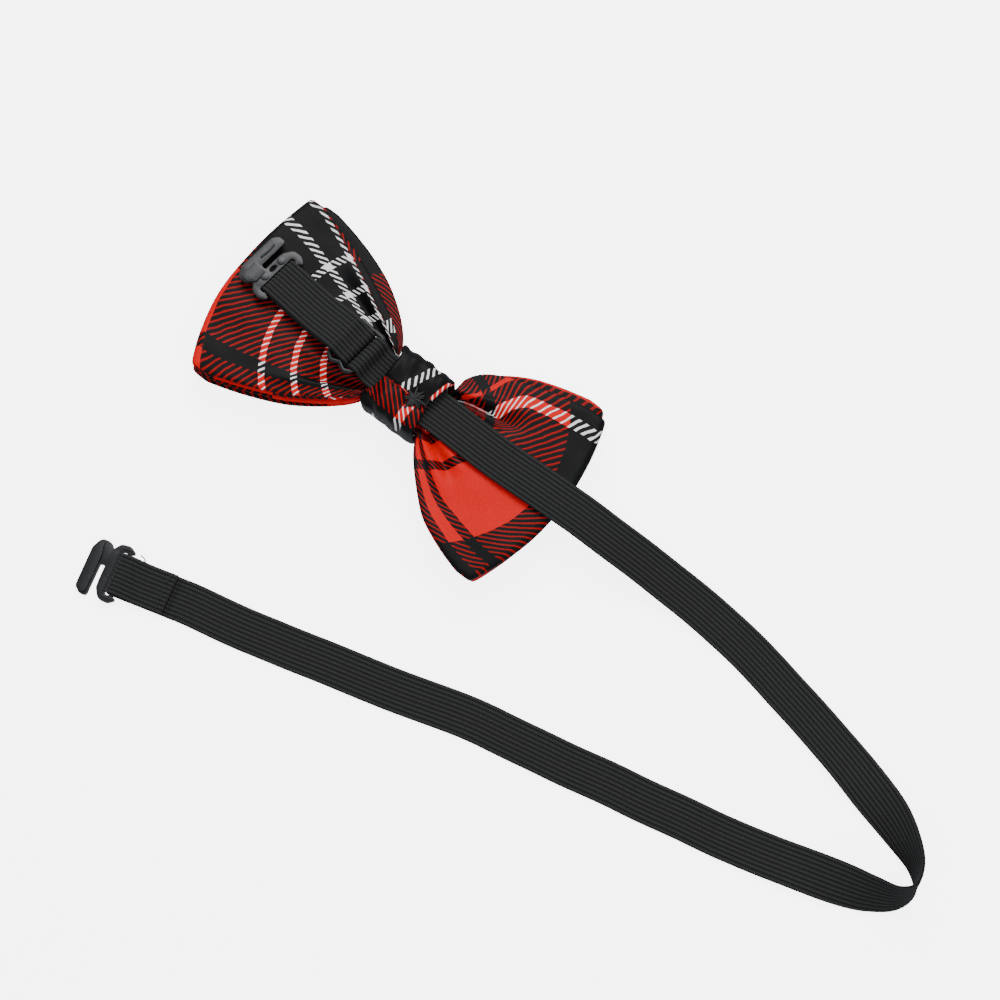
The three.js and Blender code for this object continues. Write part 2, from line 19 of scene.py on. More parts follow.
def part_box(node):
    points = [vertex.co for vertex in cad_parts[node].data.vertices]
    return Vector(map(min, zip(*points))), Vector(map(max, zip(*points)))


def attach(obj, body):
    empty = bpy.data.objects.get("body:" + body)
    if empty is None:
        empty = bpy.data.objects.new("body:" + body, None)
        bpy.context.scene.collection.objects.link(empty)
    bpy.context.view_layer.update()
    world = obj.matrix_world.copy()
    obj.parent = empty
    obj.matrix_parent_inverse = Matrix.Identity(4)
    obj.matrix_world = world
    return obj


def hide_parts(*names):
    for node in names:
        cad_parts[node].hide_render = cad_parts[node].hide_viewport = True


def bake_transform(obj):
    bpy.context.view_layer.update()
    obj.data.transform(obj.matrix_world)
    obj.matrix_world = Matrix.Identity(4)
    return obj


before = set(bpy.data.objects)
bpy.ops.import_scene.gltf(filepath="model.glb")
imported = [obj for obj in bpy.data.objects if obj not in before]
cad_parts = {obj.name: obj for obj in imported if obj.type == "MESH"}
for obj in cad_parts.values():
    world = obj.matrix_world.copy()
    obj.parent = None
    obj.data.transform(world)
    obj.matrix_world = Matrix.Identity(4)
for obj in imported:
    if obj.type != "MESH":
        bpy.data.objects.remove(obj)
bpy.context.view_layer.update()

MM = 0.001
CLOTH = "cloth"                     # UV map that holds each point's place on its own cloth, in mm
RIGHT_LEAF = 100.0                  # added to the crosswise place on right wings, for stripes of their own
WAIST_X = 4.5                       # the waist's middle, in mm
WAIST_Y = 1.2
GATHERED = 10.3                     # half of the length that lies gathered under the knot
CLOTH_EDGE = 10.0                   # from the waist's middle to where each wing's cloth starts
BAND_LEVEL = 12.85                  # height at which the neck band leaves the knot
log = logging.getLogger("bow_tie")

Mesh = bmesh.types.BMesh
Tree = bpy.types.NodeTree
Socket = bpy.types.NodeSocket
Material = bpy.types.Material
Piece = bpy.types.Object
Point = tuple[float, float]
Placed = tuple[Vector, Point]


# -------------------------------------------------------------------------------- helpers
def clamp(t: float) -> float:
    """Returns t held between 0 and 1."""
    return min(1.0, max(0.0, t))


def smooth(t: float) -> float:
    """Returns the smooth step of t between 0 and 1."""
    c = clamp(t)
    return c * c * (3 - 2 * c)


def hill(t: float, middle: float, reach: float) -> float:
    """Returns a bell of height 1 at middle that fades out over reach."""
    return math.exp(-(((t - middle) / reach) ** 2))


def linear(colour: str) -> tuple[float, float, float, float]:
    """Turns an sRGB hex colour into linear values.

    Args:
        colour: Six hex digits after a #.

    Returns:
        Red, green, blue and an alpha of 1.
    """
    parts = [int(colour[i:i + 2], 16) / 255 for i in (1, 3, 5)]
    r, g, b = [p / 12.92 if p <= 0.04045 else ((p + 0.055) / 1.055) ** 2.4 for p in parts]
    return r, g, b, 1.0


class Route:
    """A centripetal Catmull-Rom curve, which is walked by its own length."""

    def __init__(self, points: Sequence[Vector], closed: bool = False, steps: int = 20) -> None:
        """Samples the curve.

        Args:
            points: Points that it passes through.
            closed: Whether the last point joins the first.
            steps: Samples between two points.
        """
        p = [Vector(q) for q in points]
        ends = [p[-1], *p, p[0], p[1]] if closed else [p[0] * 2 - p[1], *p, p[-1] * 2 - p[-2]]
        spans = len(p) if closed else len(p) - 1
        self.closed = closed
        self.line = [self._span(ends[i:i + 4], s / steps) for i in range(spans) for s in range(steps)]
        self.line.append(Vector(p[0] if closed else p[-1]))
        self.marks = [0.0]
        for before, after in zip(self.line, self.line[1:]):
            self.marks.append(self.marks[-1] + (after - before).length)
        self.length = self.marks[-1]

    @staticmethod
    def _span(q: Sequence[Vector], t: float) -> Vector:
        """Finds a point between the middle two of four points.

        Args:
            q: The four points.
            t: Share of the way from the second to the third.

        Returns:
            The point.
        """
        gaps = [max(1e-6, (q[i + 1] - q[i]).length) ** 0.5 for i in range(3)]
        lean = [(q[i + 1] - q[i]) / gaps[i] - (q[i + 2] - q[i]) / (gaps[i] + gaps[i + 1])
                + (q[i + 2] - q[i + 1]) / gaps[i + 1] for i in (0, 1)]
        m0, m1 = lean[0] * gaps[1], lean[1] * gaps[1]
        t2, t3 = t * t, t * t * t
        return (q[1] * (2 * t3 - 3 * t2 + 1) + m0 * (t3 - 2 * t2 + t) + q[2] * (3 * t2 - 2 * t3)
                + m1 * (t3 - t2))

    def at(self, share: float) -> tuple[Vector, Vector]:
        """Walks the curve.

        Args:
            share: Share of its length.

        Returns:
            The point, and the direction there.
        """
        aim = (share % 1 if self.closed else clamp(share)) * self.length
        low, high = 0, len(self.marks) - 1
        while high - low > 1:
            middle = (low + high) // 2
            low, high = (middle, high) if self.marks[middle] <= aim else (low, middle)
        part = (aim - self.marks[low]) / max(1e-9, self.marks[high] - self.marks[low])
        last = len(self.line) - 1
        before, after = max(0, low - 1), min(last, high + 1)
        if self.closed:
            before, after = (low - 1) % last, (high + 1) % last
        return self.line[low].lerp(self.line[high], part), (self.line[after] - self.line[before]).normalized()


def skin(bm: Mesh, around: int, along: int, place: Callable[[float, float], Placed],
         closed: bool = False) -> None:
    """Adds a closed tube that is a grid wrapped into place.

    Args:
        bm: The mesh to add to.
        around: Faces round the section.
        along: Faces along the piece.
        place: Gives the point and the place on the cloth, in mm, from the shares round and along.
        closed: Whether the tube's ends meet, so that it needs no caps.
    """
    cloth = bm.loops.layers.uv.get(CLOTH) or bm.loops.layers.uv.new(CLOTH)
    verts = bmesh.ops.create_grid(bm, x_segments=around, y_segments=along, size=1.0)["verts"]
    spots = {}
    for vert in verts:
        point, spots[vert] = place(round((vert.co.x + 1) / 2, 6), round((vert.co.y + 1) / 2, 6))
        vert.co = point * MM
    for face in {f for v in verts for f in v.link_faces}:
        face.smooth = True
        for loop in face.loops:
            loop[cloth].uv = spots[loop.vert]
    bmesh.ops.remove_doubles(bm, verts=verts, dist=2e-6)
    rims = [e for e in {e for v in verts if v.is_valid for e in v.link_edges} if e.is_boundary]
    if not closed and rims:
        bmesh.ops.holes_fill(bm, edges=rims, sides=0)


def thread(bm: Mesh, points: Sequence[Sequence[float]], diameter: float, sides: int = 8,
           per_mm: float = 2.5, closed: bool = False) -> None:
    """Adds a round thread or moulded bar along a curve.

    Args:
        bm: The mesh to add to.
        points: Points that the curve passes through, in mm.
        diameter: Its thickness.
        sides: Faces round it.
        per_mm: Faces along each millimetre.
        closed: Whether it is a ring.
    """
    route = Route([Vector(p) for p in points], closed)

    def place(u: float, v: float) -> Placed:
        """Gives the point at a share of the way round and along."""
        centre, way = route.at(v)
        side = way.cross(Vector((0.11, 0.07, 0.99))).normalized()
        up = way.cross(side)
        angle = 2 * math.pi * u
        out = side * math.cos(angle) + up * math.sin(angle)
        return centre + out * diameter / 2, (u * math.pi * diameter, v * route.length)

    skin(bm, sides, max(4, int(route.length * per_mm)), place, closed)


def flat_section(u: float, thickness: float, power: int) -> Point:
    """Returns a point of a flat band's section.

    Args:
        u: Share of the way round.
        thickness: Whole thickness.
        power: How square its edges are.

    Returns:
        Its place across, from -1 to 1, and its height over the middle.
    """
    face = 1.0 if u < 0.5 else -1.0
    across = -face * math.cos(math.pi * (u * 2 % 1.0 if u < 1 else 1.0))
    if u in (0.0, 1.0):
        across = -1.0
    return across, face * thickness / 2 * math.sqrt(max(0.0, 1 - abs(across) ** power))


def emit(name: str, bm: Mesh, finish: Material, body: Optional[str] = None,
         replaced: Sequence[str] = ()) -> Piece:
    """Turns a mesh into a finished piece.

    Args:
        name: The piece's name.
        bm: Its mesh, which is freed.
        finish: Its material.
        body: The body that it rides on, or None to leave it on no body.
        replaced: CAD nodes that it stands for.

    Returns:
        The new object.
    """
    bmesh.ops.recalc_face_normals(bm, faces=bm.faces)
    mesh = bpy.data.meshes.new(name)
    bm.to_mesh(mesh)
    bm.free()
    mesh.materials.append(finish)
    piece = bpy.data.objects.new(name, mesh)
    bpy.context.scene.collection.objects.link(piece)
    if body:
        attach(piece, body)
    if replaced:
        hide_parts(*replaced)
    log.info("%s: %d faces", name, len(mesh.polygons))
    return piece


# -------------------------------------------------------------------------------- finishes
def add_node(tree: Tree, kind: str, inputs: Optional[dict] = None, **settings: object) -> bpy.types.Node:
    """Adds a node.

    Args:
        tree: The material's nodes.
        kind: The node's type.
        inputs: For each socket, its value or the output that it is linked to.
        settings: The node's own settings.

    Returns:
        The node.
    """
    node = tree.nodes.new(kind)
    for key, value in settings.items():
        setattr(node, key, value)
    for key, value in (inputs or {}).items():
        if isinstance(value, Socket):
            tree.links.new(value, node.inputs[key])
        else:
            node.inputs[key].default_value = value
    return node


class Shade(Enum):
    """The three yarn colours, by how light they are."""

    BLACK = 0.0
    RED = 0.5
    WHITE = 1.0


Stripes = tuple[tuple[float, Shade], ...]   # where each stripe starts, in mm, and its yarn


def new_material(name: str) -> tuple[Material, Tree]:
    """Starts a material.

    Args:
        name: Its name.

    Returns:
        The empty material and its nodes.
    """
    material = bpy.data.materials.new(name)
    material.use_nodes = True
    material.node_tree.nodes.clear()
    return material, material.node_tree


def surface(tree: Tree, inputs: dict) -> None:
    """Ends a material in one Principled shader.

    Args:
        tree: The material's nodes.
        inputs: The shader's values and links.
    """
    shader = add_node(tree, "ShaderNodeBsdfPrincipled", inputs)
    add_node(tree, "ShaderNodeOutputMaterial", {"Surface": shader.outputs[0]})


@dataclass(frozen=True)
class TartanSatin:
    """Polyester satin woven as a tartan.

    Where two yarns cross they show as slanted bars, and where alike yarns cross as a solid patch. The bars
    are the coarse twill that the cloth really has. Its satin threads are far finer, so they are drawn at 0.5
    mm, which is as fine as shows.
    """

    name: str
    warp: Stripes
    weft: Stripes
    bar_pitch: float = 2.25
    lean: float = -1.0              # -1 for bars that rise with the leaf, 1 for bars that fall
    bar: float = 0.12               # half a bar's width as a share of the pitch, before the next two
    bar_lighter: float = 0.08       # what its own yarn's lightness adds
    bar_darker: float = -0.14       # what the crossed yarn's lightness adds
    bar_edge: float = 0.02          # half the width over which a bar's edge fades
    wander: float = 0.7             # how far the stripes stray from straight, in mm
    solid: float = 0.48             # how dark a mixed patch is beside a solid one
    thread_pitch: float = 0.5
    last_stripe: float = 20.0       # width given to the last stripe
    black: str = "#0D0D0F"
    red: str = "#D40000"
    white: str = "#F4F3F1"

    def _stripes(self, tree: Tree, place: Socket, stripes: Stripes) -> Socket:
        """Lays stripes out along one direction.

        Args:
            tree: The material's nodes.
            place: Place along that direction, in mm.
            stripes: The stripes.

        Returns:
            The yarn's lightness.
        """
        low, high = stripes[0][0], stripes[-1][0] + self.last_stripe
        share = add_node(tree, "ShaderNodeMapRange", {"Value": place, "From Min": low, "From Max": high})
        ramp = add_node(tree, "ShaderNodeValToRGB", {"Fac": share.outputs[0]})
        ramp.color_ramp.interpolation = "CONSTANT"
        points = ramp.color_ramp.elements
        while len(points) > 1:
            points.remove(points[-1])
        for i, (start, shade) in enumerate(stripes):
            point = points[0] if i == 0 else points.new((start - low) / (high - low))
            point.position = (start - low) / (high - low)
            point.color = (shade.value, shade.value, shade.value, 1)
        return ramp.outputs[0]

    def _yarn(self, tree: Tree, shade: Socket) -> Socket:
        """Gives a yarn its colour.

        Args:
            tree: The material's nodes.
            shade: The yarn's lightness.

        Returns:
            Its colour.
        """
        ramp = add_node(tree, "ShaderNodeValToRGB", {"Fac": shade})
        ramp.color_ramp.interpolation = "CONSTANT"
        ramp.color_ramp.elements[0].color = linear(self.black)
        ramp.color_ramp.elements[1].position = 0.75
        ramp.color_ramp.elements[1].color = linear(self.white)
        middle = ramp.color_ramp.elements.new(0.25)
        middle.color = linear(self.red)
        return ramp.outputs[0]

    def make(self) -> Material:
        """Builds the material."""
        material, tree = new_material(self.name)
        add = partial(add_node, tree)
        cloth = add("ShaderNodeUVMap", uv_map=CLOTH).outputs[0]
        drift = add("ShaderNodeTexNoise", {"Vector": cloth, "Scale": 0.22, "Detail": 2.0})
        spread = add("ShaderNodeVectorMath", {0: drift.outputs["Color"], 1: (0.5, 0.5, 0.5)},
                     operation="SUBTRACT")
        bent = add("ShaderNodeVectorMath", {0: spread.outputs[0], 1: (self.wander,) * 3, 2: cloth},
                   operation="MULTIPLY_ADD")
        place = add("ShaderNodeSeparateXYZ", {0: bent.outputs[0]})
        warp = self._stripes(tree, place.outputs[0], self.warp)
        weft = self._stripes(tree, place.outputs[1], self.weft)
        lighter = add("ShaderNodeMath", {0: warp, 1: weft}, operation="MAXIMUM").outputs[0]
        darker = add("ShaderNodeMath", {0: warp, 1: weft}, operation="MINIMUM").outputs[0]
        diagonal = add("ShaderNodeMath", {0: place.outputs[1], 1: self.lean, 2: place.outputs[0]},
                       operation="MULTIPLY_ADD").outputs[0]
        turns = add("ShaderNodeMath", {0: diagonal, 1: self.bar_pitch}, operation="DIVIDE")
        phase = add("ShaderNodeMath", {0: turns.outputs[0], 1: 0.5}, operation="PINGPONG")
        wide = add("ShaderNodeMath", {0: lighter, 1: self.bar_lighter, 2: self.bar}, operation="MULTIPLY_ADD")
        cover = add("ShaderNodeMath", {0: darker, 1: self.bar_darker, 2: wide.outputs[0]},
                    operation="MULTIPLY_ADD")
        inside = add("ShaderNodeMath", {0: cover.outputs[0], 1: phase.outputs[0]}, operation="SUBTRACT")
        shown = add("ShaderNodeMapRange", {"Value": inside.outputs[0], "From Min": -self.bar_edge,
                                           "From Max": self.bar_edge})
        mixed = add("ShaderNodeMix", {0: shown.outputs[0], 6: self._yarn(tree, darker),
                                      7: self._yarn(tree, lighter)}, data_type="RGBA")
        pure = add("ShaderNodeMapRange", {"Value": darker, "From Max": 0.5, "To Min": self.solid})
        bright = add("ShaderNodeMapRange", {"Value": lighter, "From Min": 0.5, "To Min": self.solid})
        clear = add("ShaderNodeMath", {0: pure.outputs[0], 1: bright.outputs[0]}, operation="MAXIMUM")
        fine = add("ShaderNodeMath", {0: diagonal, 1: 2 * math.pi / self.thread_pitch}, operation="MULTIPLY")
        wave = add("ShaderNodeMath", {0: fine.outputs[0]}, operation="SINE")
        mottle = add("ShaderNodeTexNoise", {"Vector": cloth, "Scale": 1.3, "Detail": 4.0})
        weave = add("ShaderNodeMath", {0: wave.outputs[0], 1: 0.05, 2: mottle.outputs["Fac"]},
                    operation="MULTIPLY_ADD")
        tone = add("ShaderNodeMapRange", {"Value": weave.outputs[0], "From Min": 0.25, "From Max": 0.75,
                                          "To Min": 0.86, "To Max": 1.1})
        depth = add("ShaderNodeMath", {0: tone.outputs[0], 1: clear.outputs[0]}, operation="MULTIPLY")
        colour = add("ShaderNodeVectorMath", {0: mixed.outputs[2], "Scale": depth.outputs[0]},
                     operation="SCALE")
        rough = add("ShaderNodeMapRange", {"Value": mottle.outputs["Fac"], "To Min": 0.42, "To Max": 0.58})
        bump = add("ShaderNodeBump", {"Height": weave.outputs[0], "Strength": 0.35, "Distance": 0.00008})
        surface(tree, {"Base Color": colour.outputs[0], "Roughness": rough.outputs[0],
                       "Normal": bump.outputs[0], "Specular IOR Level": 0.12})
        return material


@dataclass(frozen=True)
class RibbedElastic:
    """Knitted polyester elastic: matt black, with a paler line of stitches along each rib."""

    name: str = "ribbed_elastic"
    rib_pitch: float = 1.3
    stitch_pitch: float = 0.8
    dark: str = "#060606"
    pale: str = "#3A3B3B"

    def make(self) -> Material:
        """Builds the material."""
        material, tree = new_material(self.name)
        add = partial(add_node, tree)
        cloth = add("ShaderNodeUVMap", uv_map=CLOTH).outputs[0]
        place = add("ShaderNodeSeparateXYZ", {0: cloth})
        rib = add("ShaderNodeMath", {0: place.outputs[0], 1: self.rib_pitch / 2}, operation="PINGPONG")
        ribbed = add("ShaderNodeMapRange", {"Value": rib.outputs[0], "From Max": self.rib_pitch / 2})
        chevron = add("ShaderNodeMath", {0: rib.outputs[0], 1: 0.9, 2: place.outputs[1]},
                      operation="MULTIPLY_ADD")
        turn = add("ShaderNodeMath", {0: chevron.outputs[0], 1: 2 * math.pi / self.stitch_pitch},
                   operation="MULTIPLY")
        stitch = add("ShaderNodeMath", {0: turn.outputs[0]}, operation="SINE")
        fuzz = add("ShaderNodeTexNoise", {"Vector": cloth, "Scale": 1.6, "Detail": 5.0, "Roughness": 0.65})
        knit = add("ShaderNodeMath", {0: stitch.outputs[0], 1: 0.16, 2: fuzz.outputs["Fac"]},
                   operation="MULTIPLY_ADD")
        tone = add("ShaderNodeMath", {0: knit.outputs[0], 1: ribbed.outputs[0]}, operation="MULTIPLY")
        mixed = add("ShaderNodeMix", {0: tone.outputs[0], 6: linear(self.dark), 7: linear(self.pale)},
                    data_type="RGBA")
        bump = add("ShaderNodeBump", {"Height": knit.outputs[0], "Strength": 0.5, "Distance": 0.0001})
        surface(tree, {"Base Color": mixed.outputs[2], "Roughness": 0.85, "Normal": bump.outputs[0],
                       "Specular IOR Level": 0.25, "Sheen Weight": 0.03, "Sheen Roughness": 0.5})
        return material


@dataclass(frozen=True)
class MouldedAcetal:
    """Injection-moulded acetal: smooth, with a soft gloss and a faint flow texture."""

    name: str
    colour: str
    worn: str
    roughness: float = 0.34

    def make(self) -> Material:
        """Builds the material."""
        material, tree = new_material(self.name)
        add = partial(add_node, tree)
        place = add("ShaderNodeTexCoord").outputs["Object"]
        flow = add("ShaderNodeTexNoise", {"Vector": place, "Scale": 350.0, "Detail": 3.0}).outputs["Fac"]
        grain = add("ShaderNodeTexNoise", {"Vector": place, "Scale": 2600.0})
        mixed = add("ShaderNodeMix", {0: flow, 6: linear(self.colour), 7: linear(self.worn)},
                    data_type="RGBA")
        rough = add("ShaderNodeMapRange", {"Value": flow, "To Min": self.roughness - 0.06,
                                           "To Max": self.roughness + 0.1})
        bump = add("ShaderNodeBump", {"Height": grain.outputs["Fac"], "Strength": 0.12, "Distance": 0.00003})
        surface(tree, {"Base Color": mixed.outputs[2], "Roughness": rough.outputs[0],
                       "Normal": bump.outputs[0], "IOR": 1.48, "Specular IOR Level": 0.4})
        return material


@dataclass(frozen=True)
class SpunThread:
    """Twisted polyester sewing thread, or a plain woven strip, in one colour with its twist showing."""

    name: str
    colour: str
    pale: str
    pitch: float = 0.7

    def make(self) -> Material:
        """Builds the material."""
        material, tree = new_material(self.name)
        add = partial(add_node, tree)
        cloth = add("ShaderNodeUVMap", uv_map=CLOTH)
        place = add("ShaderNodeSeparateXYZ", {0: cloth.outputs[0]})
        slant = add("ShaderNodeMath", {0: place.outputs[0], 1: place.outputs[1]}, operation="ADD")
        turn = add("ShaderNodeMath", {0: slant.outputs[0], 1: 2 * math.pi / self.pitch}, operation="MULTIPLY")
        twist = add("ShaderNodeMath", {0: turn.outputs[0]}, operation="SINE")
        tone = add("ShaderNodeMapRange", {"Value": twist.outputs[0], "From Min": -1.0})
        mixed = add("ShaderNodeMix", {0: tone.outputs[0], 6: linear(self.colour), 7: linear(self.pale)},
                    data_type="RGBA")
        bump = add("ShaderNodeBump", {"Height": tone.outputs[0], "Strength": 0.5, "Distance": 0.00006})
        surface(tree, {"Base Color": mixed.outputs[2], "Roughness": 0.6, "Normal": bump.outputs[0]})
        return material


@dataclass(frozen=True)
class Finishes:
    """Every finish of the tie."""

    back_bow: Material
    front_bow: Material
    knot: Material
    rolled_edge: Material
    elastic: Material
    hook: Material
    catch: Material
    thread: Material
    lining: Material

    @staticmethod
    def make() -> "Finishes":
        """Builds the finishes."""
        k, r, w = Shade.BLACK, Shade.RED, Shade.WHITE
        back = TartanSatin(
            "tartan_satin_back_bow",
            warp=((-125, r), (-112, k), (-88, w), (-85, k), (-70, r), (-55.2, k), (-38, w), (-35.2, k),
                  (-28, w), (-25.8, k), (-19.2, w), (-17.1, k), (0, r), (6.5, k), (9.5, r), (15, k),
                  (18, r), (41, k), (66, r), (73, k), (76, r), (90, k), (105, r)),
            weft=((-40, r), (-26.5, k), (-22.5, r), (0, k), (19.6, w), (22.3, k), (29, w), (31.2, r), (60, k),
                  (70.8, r), (74.8, k), (78.2, r), (102, k), (123.6, w), (127, k), (132.5, r), (134, k)))
        front = TartanSatin(
            "tartan_satin_front_bow",
            warp=((-125, k), (-104, r), (-86, k), (-34, r), (0, k), (5, w), (7, k), (13, w), (15.5, k),
                  (24, r), (66, k), (84, w), (87, k), (94, w), (97, k), (112, r)),
            weft=((-40, r), (-12, k), (-8, r), (4, k), (14, w), (17, k), (60, r), (88, k), (110, w), (113, k),
                  (131.4, r), (132.4, k)))
        knot = TartanSatin(
            "tartan_satin_knot", bar_pitch=2.0, lean=1.0,
            warp=((-30, k), (4.2, w), (7.3, k), (24, r), (30, k), (34, k)),
            weft=((-60, r), (-40, k), (-30, r), (-22, k), (-8.6, r), (-0.3, k), (16, r), (24, k),
                  (30, w), (33, k)))
        edge = TartanSatin("tartan_satin_rolled_edge", bar_pitch=2.1, lean=1.0, warp=((-500, r),),
                           weft=((-500, w),))
        return Finishes(
            back.make(), front.make(), knot.make(), edge.make(), RibbedElastic().make(),
            MouldedAcetal("moulded_acetal_black", "#0B0B0D", "#17181A").make(),
            # the catch is the hook's black acetal in a slightly lighter copy: painted sheen for the light its
            # face catches
            MouldedAcetal("moulded_acetal_black_painted_sheen", "#0F1012", "#1E1F22", 0.28).make(),
            SpunThread("polyester_thread_black", "#09090A", "#1C1C1E").make(),
            SpunThread("woven_interlining", "#DAD5C8", "#EFEBE0", 0.9).make())


# -------------------------------------------------------------------------------- bows
@dataclass(frozen=True)
class Knot:
    """The middle of the tie, from the frame's own box of the knot wrap."""

    low: Vector = field(default_factory=lambda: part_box("knot_wrap")[0] / MM)
    high: Vector = field(default_factory=lambda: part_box("knot_wrap")[1] / MM)

    @property
    def middle(self) -> Vector:
        """The wrap's centre."""
        return (self.low + self.high) / 2


@dataclass(frozen=True)
class Wing:
    """One wing's outline: how its upper and lower halves open out from the waist."""

    side: int
    reach: float                    # from the bow's middle line to the fold, at its middle
    tilt: float                     # how far the wing's own middle is off the axis at the fold
    upper: Point                    # power and rise of the half towards +Y
    lower: Point
    bulge: Point                    # how far its tips lie behind its middle, upper and lower

    def spread(self, x: float, across: float) -> float:
        """Works out how far the wing has opened.

        Args:
            x: Place along the bow.
            across: Place across it; above 0 is the half towards +Y.

        Returns:
            0 at the waist to 1 at full height.
        """
        opening = self.reach - 6.5 - self.side * WAIST_X - CLOTH_EDGE
        share = clamp((self.side * (x - WAIST_X) - GATHERED) / opening)
        power, rise = self.upper if across > 0 else self.lower
        return min(1.0, share ** power * (1 + rise * (1 - share)))


@dataclass
class Bow:
    """A bow: a sleeve of cloth folded into a flat loop, with a stiffener inside."""

    name: str
    wings: tuple[Wing, Wing]        # left, right
    half_height: float
    waist_levels: Point             # heights of the lower and upper leaf under the knot
    wing_levels: Point
    give: Point                     # how far each leaf follows the gathers, from 0 to 1
    finish: Material
    waist: float = 7.6              # half height of the gathered waist
    thickness: float = 1.3
    lining: float = 0.3             # thickness of the stiffener
    margin: float = 1.5             # how far the stiffener stops short of the sleeve's edges
    flare: float = 22.0
    steps: int = 56
    fold_steps: int = 12
    around: int = 112
    trim: float = 0.0               # how much the upper leaf's left upper edge is drawn in
    stations: list[tuple[float, float, int, float]] = field(default_factory=list)

    def __post_init__(self) -> None:
        """Lays out the stations along the loop: x, level from 0 to 1, side, and fold angle or -1."""
        for side in (1, -1):
            wing = self.wings[0 if side < 0 else 1]
            radius = (self.wing_levels[1] - self.wing_levels[0]) / 2
            edge = WAIST_X + side * GATHERED
            end = side * (wing.reach - radius - self.thickness / 2)
            run = [(edge + (end - edge) * i / self.steps, 1.0, side, -1.0) for i in range(self.steps + 1)]
            run += [(end, 0.5, side, math.pi * i / self.fold_steps) for i in range(1, self.fold_steps)]
            back = [(x, 0.0, s, a) for x, _, s, a in reversed(run[:self.steps + 1])]
            leaf = [(WAIST_X + side * 0.6, 1.0, side, -1.0), *run, *back]
            self.stations += leaf if side > 0 else list(reversed(leaf))

    def gathers(self, x: float, y: float) -> float:
        """Works out how far pleats and soft waves lift or sink the cloth.

        Args:
            x: Place along the bow, in mm.
            y: Place across it.

        Returns:
            The lift, in mm; below 0 is a hollow.
        """
        away = abs(x - WAIST_X) - GATHERED
        if away < 0:
            return 0.0
        lift = sum(line.lift(x, y) for line in PLEATS)
        broad = noise.noise(Vector((x / 17, y / 12, 3.1)))
        small = noise.noise(Vector((x / 6, y / 8, 9.7)))
        return lift + (0.6 * broad + 0.16 * small) * smooth(away / 12)

    def _half(self, x: float, across: float, level: float, wing: Wing) -> float:
        """Works out the bow's half height.

        Args:
            x: Place along the bow, in mm.
            across: Place across the sleeve, from -1 to 1.
            level: 1 on the upper leaf, 0 on the lower one.
            wing: The wing that it is on.

        Returns:
            The half height, in mm.
        """
        spread = wing.spread(x, across)
        if self.trim and wing.side < 0 < across and level > 0.6:
            share = clamp((WAIST_X - x - GATHERED) / (wing.reach - 12))
            drawn = min(1.0, share ** 0.95 * (1 + 0.25 * (1 - share)))
            spread += (drawn - spread) * self.trim
        return self.waist + (self.half_height - self.waist) * spread

    def _on_cloth(self, x: float, y: float, across: float, level: float, under: float, fold: float,
                  side: int) -> Point:
        """Works out which place of the cloth lies at a point.

        Args:
            x: The point, in mm.
            y: The point.
            across: Place across the sleeve, from -1 to 1.
            level: 1 on the upper leaf, 0 on the lower one.
            under: Share of the way from the upper leaf to the lower one.
            fold: How far from the waist's middle the wing folds.
            side: Which wing, -1 or 1.

        Returns:
            The place along and across the cloth, in mm.
        """
        out = side * (x - WAIST_X) - CLOTH_EDGE
        radial = math.hypot(out, y - WAIST_Y) if out > 0 else 0.0
        folded = math.hypot(fold - CLOTH_EDGE, y - WAIST_Y) + 2
        along = radial if level > 0.4 else 2 * folded - radial
        grain = across * self.half_height * (1 - 0.12 * under)
        if side > 0:
            grain += RIGHT_LEAF + 18 * self.trim * smooth((30 - radial) / 22) * smooth((across - 0.4) / 0.08)
        else:
            along -= 8 * self.trim * (1 - under) * smooth(across) * (radial / 60) ** 3
        return side * along, grain

    def place(self, station: int, across: float, height: float, inset: float, stretch: float) -> Placed:
        """Returns the point of the sleeve at a station.

        Args:
            station: Which station along the loop.
            across: Place across the sleeve, from -1 to 1.
            height: Distance from the sleeve's middle surface, outwards of the loop.
            inset: How far the piece stops short of the sleeve's edges.
            stretch: How far the ends run on, along the loop.

        Returns:
            The point, and its place on the cloth.
        """
        x, level, side, angle = self.stations[station]
        wing = self.wings[0 if side < 0 else 1]
        low, high = self.wing_levels
        opened = smooth((abs(x - WAIST_X) - GATHERED) / self.flare)
        half = self._half(x, across, level, wing)
        share = across * (half - inset) / half
        if angle >= 0:
            radius = (high - low) / 2 + height
            px, pz = x + side * math.sin(angle) * radius, (high + low) / 2 + math.cos(angle) * radius
            under = angle / math.pi
        else:
            leaf, face = (1, 1) if level > 0.5 else (0, -1)
            px = x
            pz = self.waist_levels[leaf] * (1 - opened) + self.wing_levels[leaf] * opened + face * height
            under = 1 - level
        ends = {0: -1, len(self.stations) - 1: 1}
        px += ends.get(station, 0) * stretch
        bulge = wing.bulge[0] if share > 0 else wing.bulge[1]
        narrow = 1 - bulge / wing.reach * (half / self.half_height * share) ** 2 * opened
        px = WAIST_X + (px - WAIST_X) * narrow
        py = WAIST_Y + (wing.tilt - WAIST_Y) * opened + share * half
        give = self.give[1] + (self.give[0] - self.give[1]) * under
        pz += give * self.gathers(px, py)
        fold = wing.reach * narrow - WAIST_X
        return (Vector((px, py, max(pz, 0.35))),
                self._on_cloth(px, py, across, level, under, fold, side))

    def piece(self, thickness: float, inset: float, stretch: float) -> Mesh:
        """Makes the mesh of the sleeve or of what is inside it.

        Args:
            thickness: Its thickness, in mm.
            inset: How far it stops short of the sleeve's edges.
            stretch: How far its ends run on, along the loop.

        Returns:
            The mesh.
        """
        bm = bmesh.new()
        last = len(self.stations) - 1

        def place(u: float, v: float) -> Placed:
            """Gives the point at a share of the way round and along."""
            across, height = flat_section(u, thickness, 60)
            return self.place(round(v * last), across, height, inset, stretch)

        skin(bm, self.around, last, place)
        return bm

